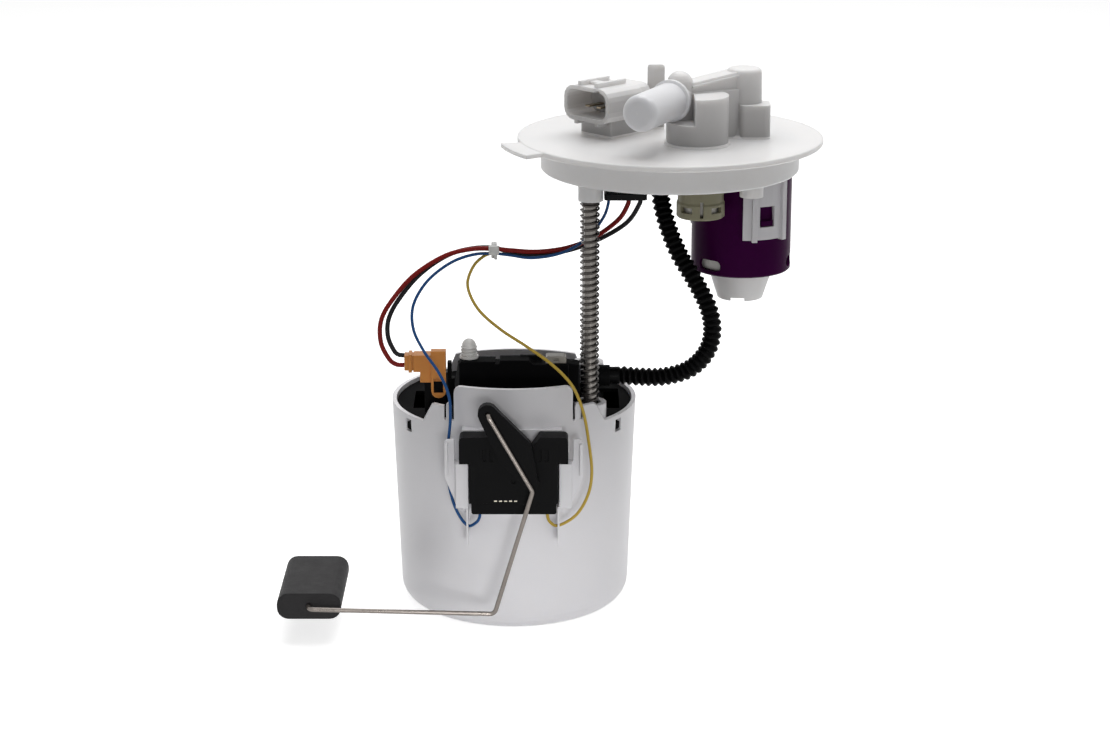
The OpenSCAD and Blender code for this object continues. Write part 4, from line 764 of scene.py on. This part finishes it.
class FUELPUMP_OT_valves(Operator):
    """Finishes of the two vent valves under the head"""
    bl_idname = "fuelpump.valves"
    bl_label = "Vent valves"

    def execute(self, context):
        colours = context.scene.fuel_pump.finishes
        # Lighter edges on the cage: painted highlight
        dress("vent_cage", "cage_acetal", (0.66, 0.65, 0.67), 0.4, drift=0.08, subsurface=0.25, edge=0.0004,
              edge_colour=(0.8, 0.79, 0.8), edge_share=0.6)
        # Lighter edges on the purple can: painted highlight
        dress("vent_can", "can_purple", colours.purple, 0.34, drift=0.35, grain_size=700, edge=0.0005,
              edge_colour=(0.06, 0.004, 0.06), edge_share=0.3, specular=0.02)
        dress("vent_nozzle", "nozzle_white", (0.8, 0.79, 0.785), 0.42, subsurface=0.3, edge=0.0004)
        dress("vent_float grade_float", "float_ivory", (0.85, 0.83, 0.79), 0.45, edge=0.0004)
        # Lighter edges on the grade can: painted highlight
        dress("grade_can", "grade_khaki", colours.khaki, 0.42, drift=0.2, edge=0.0004,
              edge_colour=(0.3, 0.29, 0.2), edge_share=0.4, specular=0.25)
        return {"FINISHED"}


class FUELPUMP_OT_bucket(Operator):
    """Finishes of the reservoir bucket and what lies in it"""
    bl_idname = "fuelpump.bucket"
    bl_label = "Reservoir"

    def execute(self, context):
        colours = context.scene.fuel_pump.finishes
        bucket = dress("reservoir", "bucket_acetal", colours.bucket, 0.36, drift=0.08, drift_size=22,
                       subsurface=0.2, edge=0.0005)
        # Painted shade on the bucket's upright walls, darkest at the rim and fading towards the foot
        paint_wall_shade(bucket, darkest=BUCKET_HIGH.z, reach=BUCKET_LOW.z - BUCKET_HIGH.z, shade=0.36)
        dress("inlet_valve", "valve_rubber", (0.02, 0.02, 0.021), 0.6)
        dress("suction_strainer", "strainer_felt", (0.55, 0.53, 0.46), 0.9, grain_size=1200,
              grain_depth=0.0004, edge=0.0008)
        dress("jet_pump", "jet_acetal", (0.55, 0.52, 0.44), 0.4, edge=0.0003)
        return {"FINISHED"}


class FUELPUMP_OT_pump(Operator):
    """Finishes of the pump, its cover, connector and fittings"""
    bl_idname = "fuelpump.pump"
    bl_label = "Pump and cover"

    def execute(self, context):
        colours = context.scene.fuel_pump.finishes
        # Lighter edges on the cover: painted highlight
        dress("pump_cover", "cover_nylon", colours.black, 0.6, drift=0.3, grain_size=800, edge=0.0006,
              edge_colour=(0.03, 0.03, 0.032), edge_share=0.7, specular=0.008)
        # Lighter edges on the black fittings: painted highlight
        dress("hose_elbow terminal_block pump_top_cap", "black_nylon", colours.black, 0.5, drift=0.3,
              grain_size=800, edge=0.0005, edge_colour=(0.02, 0.02, 0.021), edge_share=0.5, specular=0.02)
        dress("pump_shell pressure_regulator", "pump_steel", (0.55, 0.55, 0.56), 0.3, metallic=1.0,
              drift=0.15, stretch=10, edge=0.0003)
        dress("pump_magnets", "ferrite", (0.03, 0.03, 0.032), 0.7)
        dress("pump_armature", "winding_copper", (0.45, 0.22, 0.1), 0.35, metallic=0.8)
        dress("pump_base pump_impeller", "phenolic", (0.1, 0.07, 0.05), 0.5)
        dress("pump_isolator", "isolator_rubber", (0.02, 0.02, 0.021), 0.65, grain_size=1200,
              grain_depth=0.0001)
        # Darker edges on the nipple: painted shade along its ribs
        dress("return_nipple", "nipple_clear", (0.7, 0.69, 0.67), 0.3, subsurface=0.1, edge=0.0004,
              edge_colour=(0.12, 0.115, 0.11), edge_share=0.9)
        dress("cover_clip", "clip_grey", (0.24, 0.22, 0.19), 0.4, edge=0.0003)
        # Lighter edges on the connector: painted highlight
        dress("pump_connector", "connector_orange", colours.orange, 0.36, drift=0.2, edge=0.0004,
              edge_colour=(0.75, 0.42, 0.16), edge_share=0.45, specular=0.15, subsurface=0.15)
        return {"FINISHED"}


# Row of contacts on the sender's housing, in millimetres: the first one's lowest corner from the bucket's
# foot, their size, and the distance from each to the next
CONTACT_COUNT = 5
CONTACT_CORNER = (-8.7, -72.35, 73.15)
CONTACT_SIZE = (1.5, 0.6, 0.65)
CONTACT_PITCH = 2.4
CONTACT_BEVEL = 0.15


class FUELPUMP_OT_sender(Operator):
    """Row of tinned contacts in the level sender, and the finishes of the sender, its arm and float"""
    bl_idname = "fuelpump.sender"
    bl_label = "Level sender"

    def execute(self, context):
        colours = context.scene.fuel_pump.finishes
        # Lighter edges on the sender: painted highlight
        dress("sender_housing arm_holder", "sender_black", colours.black, 0.4, drift=0.3, grain_size=600,
              edge=0.0004, edge_colour=(0.014, 0.014, 0.014), edge_share=0.45, specular=0.04)
        shape = bmesh.new()
        first_x, front, foot = CONTACT_CORNER
        for n in range(CONTACT_COUNT):
            low = from_foot(first_x + CONTACT_PITCH * n, front, foot)
            add_box(shape, low, low + Vector(CONTACT_SIZE) * MM, bevel=CONTACT_BEVEL * MM)
        contacts = piece_from("sender_contacts", shape)
        contacts.data.materials.append(finish_material("contact_tin", (0.62, 0.58, 0.48), 0.35, metallic=0.6,
                                                       edge=0))
        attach(contacts, "reservoir")
        dress("resistor_card", "card_ceramic", (0.5, 0.48, 0.42), 0.6)
        dress("wiper", "contact_bronze", (0.5, 0.33, 0.12), 0.3, metallic=1.0)
        dress("float_arm", "arm_steel", (0.19, 0.17, 0.155), 0.3, metallic=1.0, drift=0.3, drift_size=120,
              edge=0)
        dress("float", "float_rubber", colours.float_rubber, 0.55, drift=0.35, drift_size=180,
              grain_size=1600, grain_depth=0.00012, edge=0.0012, specular=0.08)
        return {"FINISHED"}


class FUELPUMP_PT_module(Panel):
    """Lists the module's pieces"""
    bl_idname = "FUELPUMP_PT_module"
    bl_label = "Fuel pump module"
    bl_space_type = "VIEW_3D"
    bl_region_type = "UI"
    bl_category = "Fuel pump"

    def draw(self, context):
        settings = context.scene.fuel_pump
        for step in STEPS:
            self.layout.operator(step)
        for group in (settings.cords, settings.finishes, settings.stage):
            column = self.layout.column()
            for name in group.__annotations__:
                column.prop(group, name)


PROPERTY_GROUPS = (FuelPumpCords, FuelPumpFinishes, FuelPumpStage, FuelPumpSettings)
OPERATORS = (FUELPUMP_OT_stage, FUELPUMP_OT_hose, FUELPUMP_OT_leads, FUELPUMP_OT_springs,
             FUELPUMP_OT_lead_tie, FUELPUMP_OT_head, FUELPUMP_OT_valves, FUELPUMP_OT_bucket, FUELPUMP_OT_pump,
             FUELPUMP_OT_sender)
STEPS = [operator.bl_idname for operator in OPERATORS]


def register():
    for cls in (*PROPERTY_GROUPS, *OPERATORS, FUELPUMP_PT_module):
        bpy.utils.register_class(cls)
    bpy.types.Scene.fuel_pump = PointerProperty(type=FuelPumpSettings)


def unregister():
    del bpy.types.Scene.fuel_pump
    for cls in reversed((*PROPERTY_GROUPS, *OPERATORS, FUELPUMP_PT_module)):
        bpy.utils.unregister_class(cls)


def main():
    """Builds the module and the stage."""
    register()
    for step in STEPS:
        family, name = step.split(".")
        getattr(getattr(bpy.ops, family), name)()


if __name__ == "__main__":
    main()
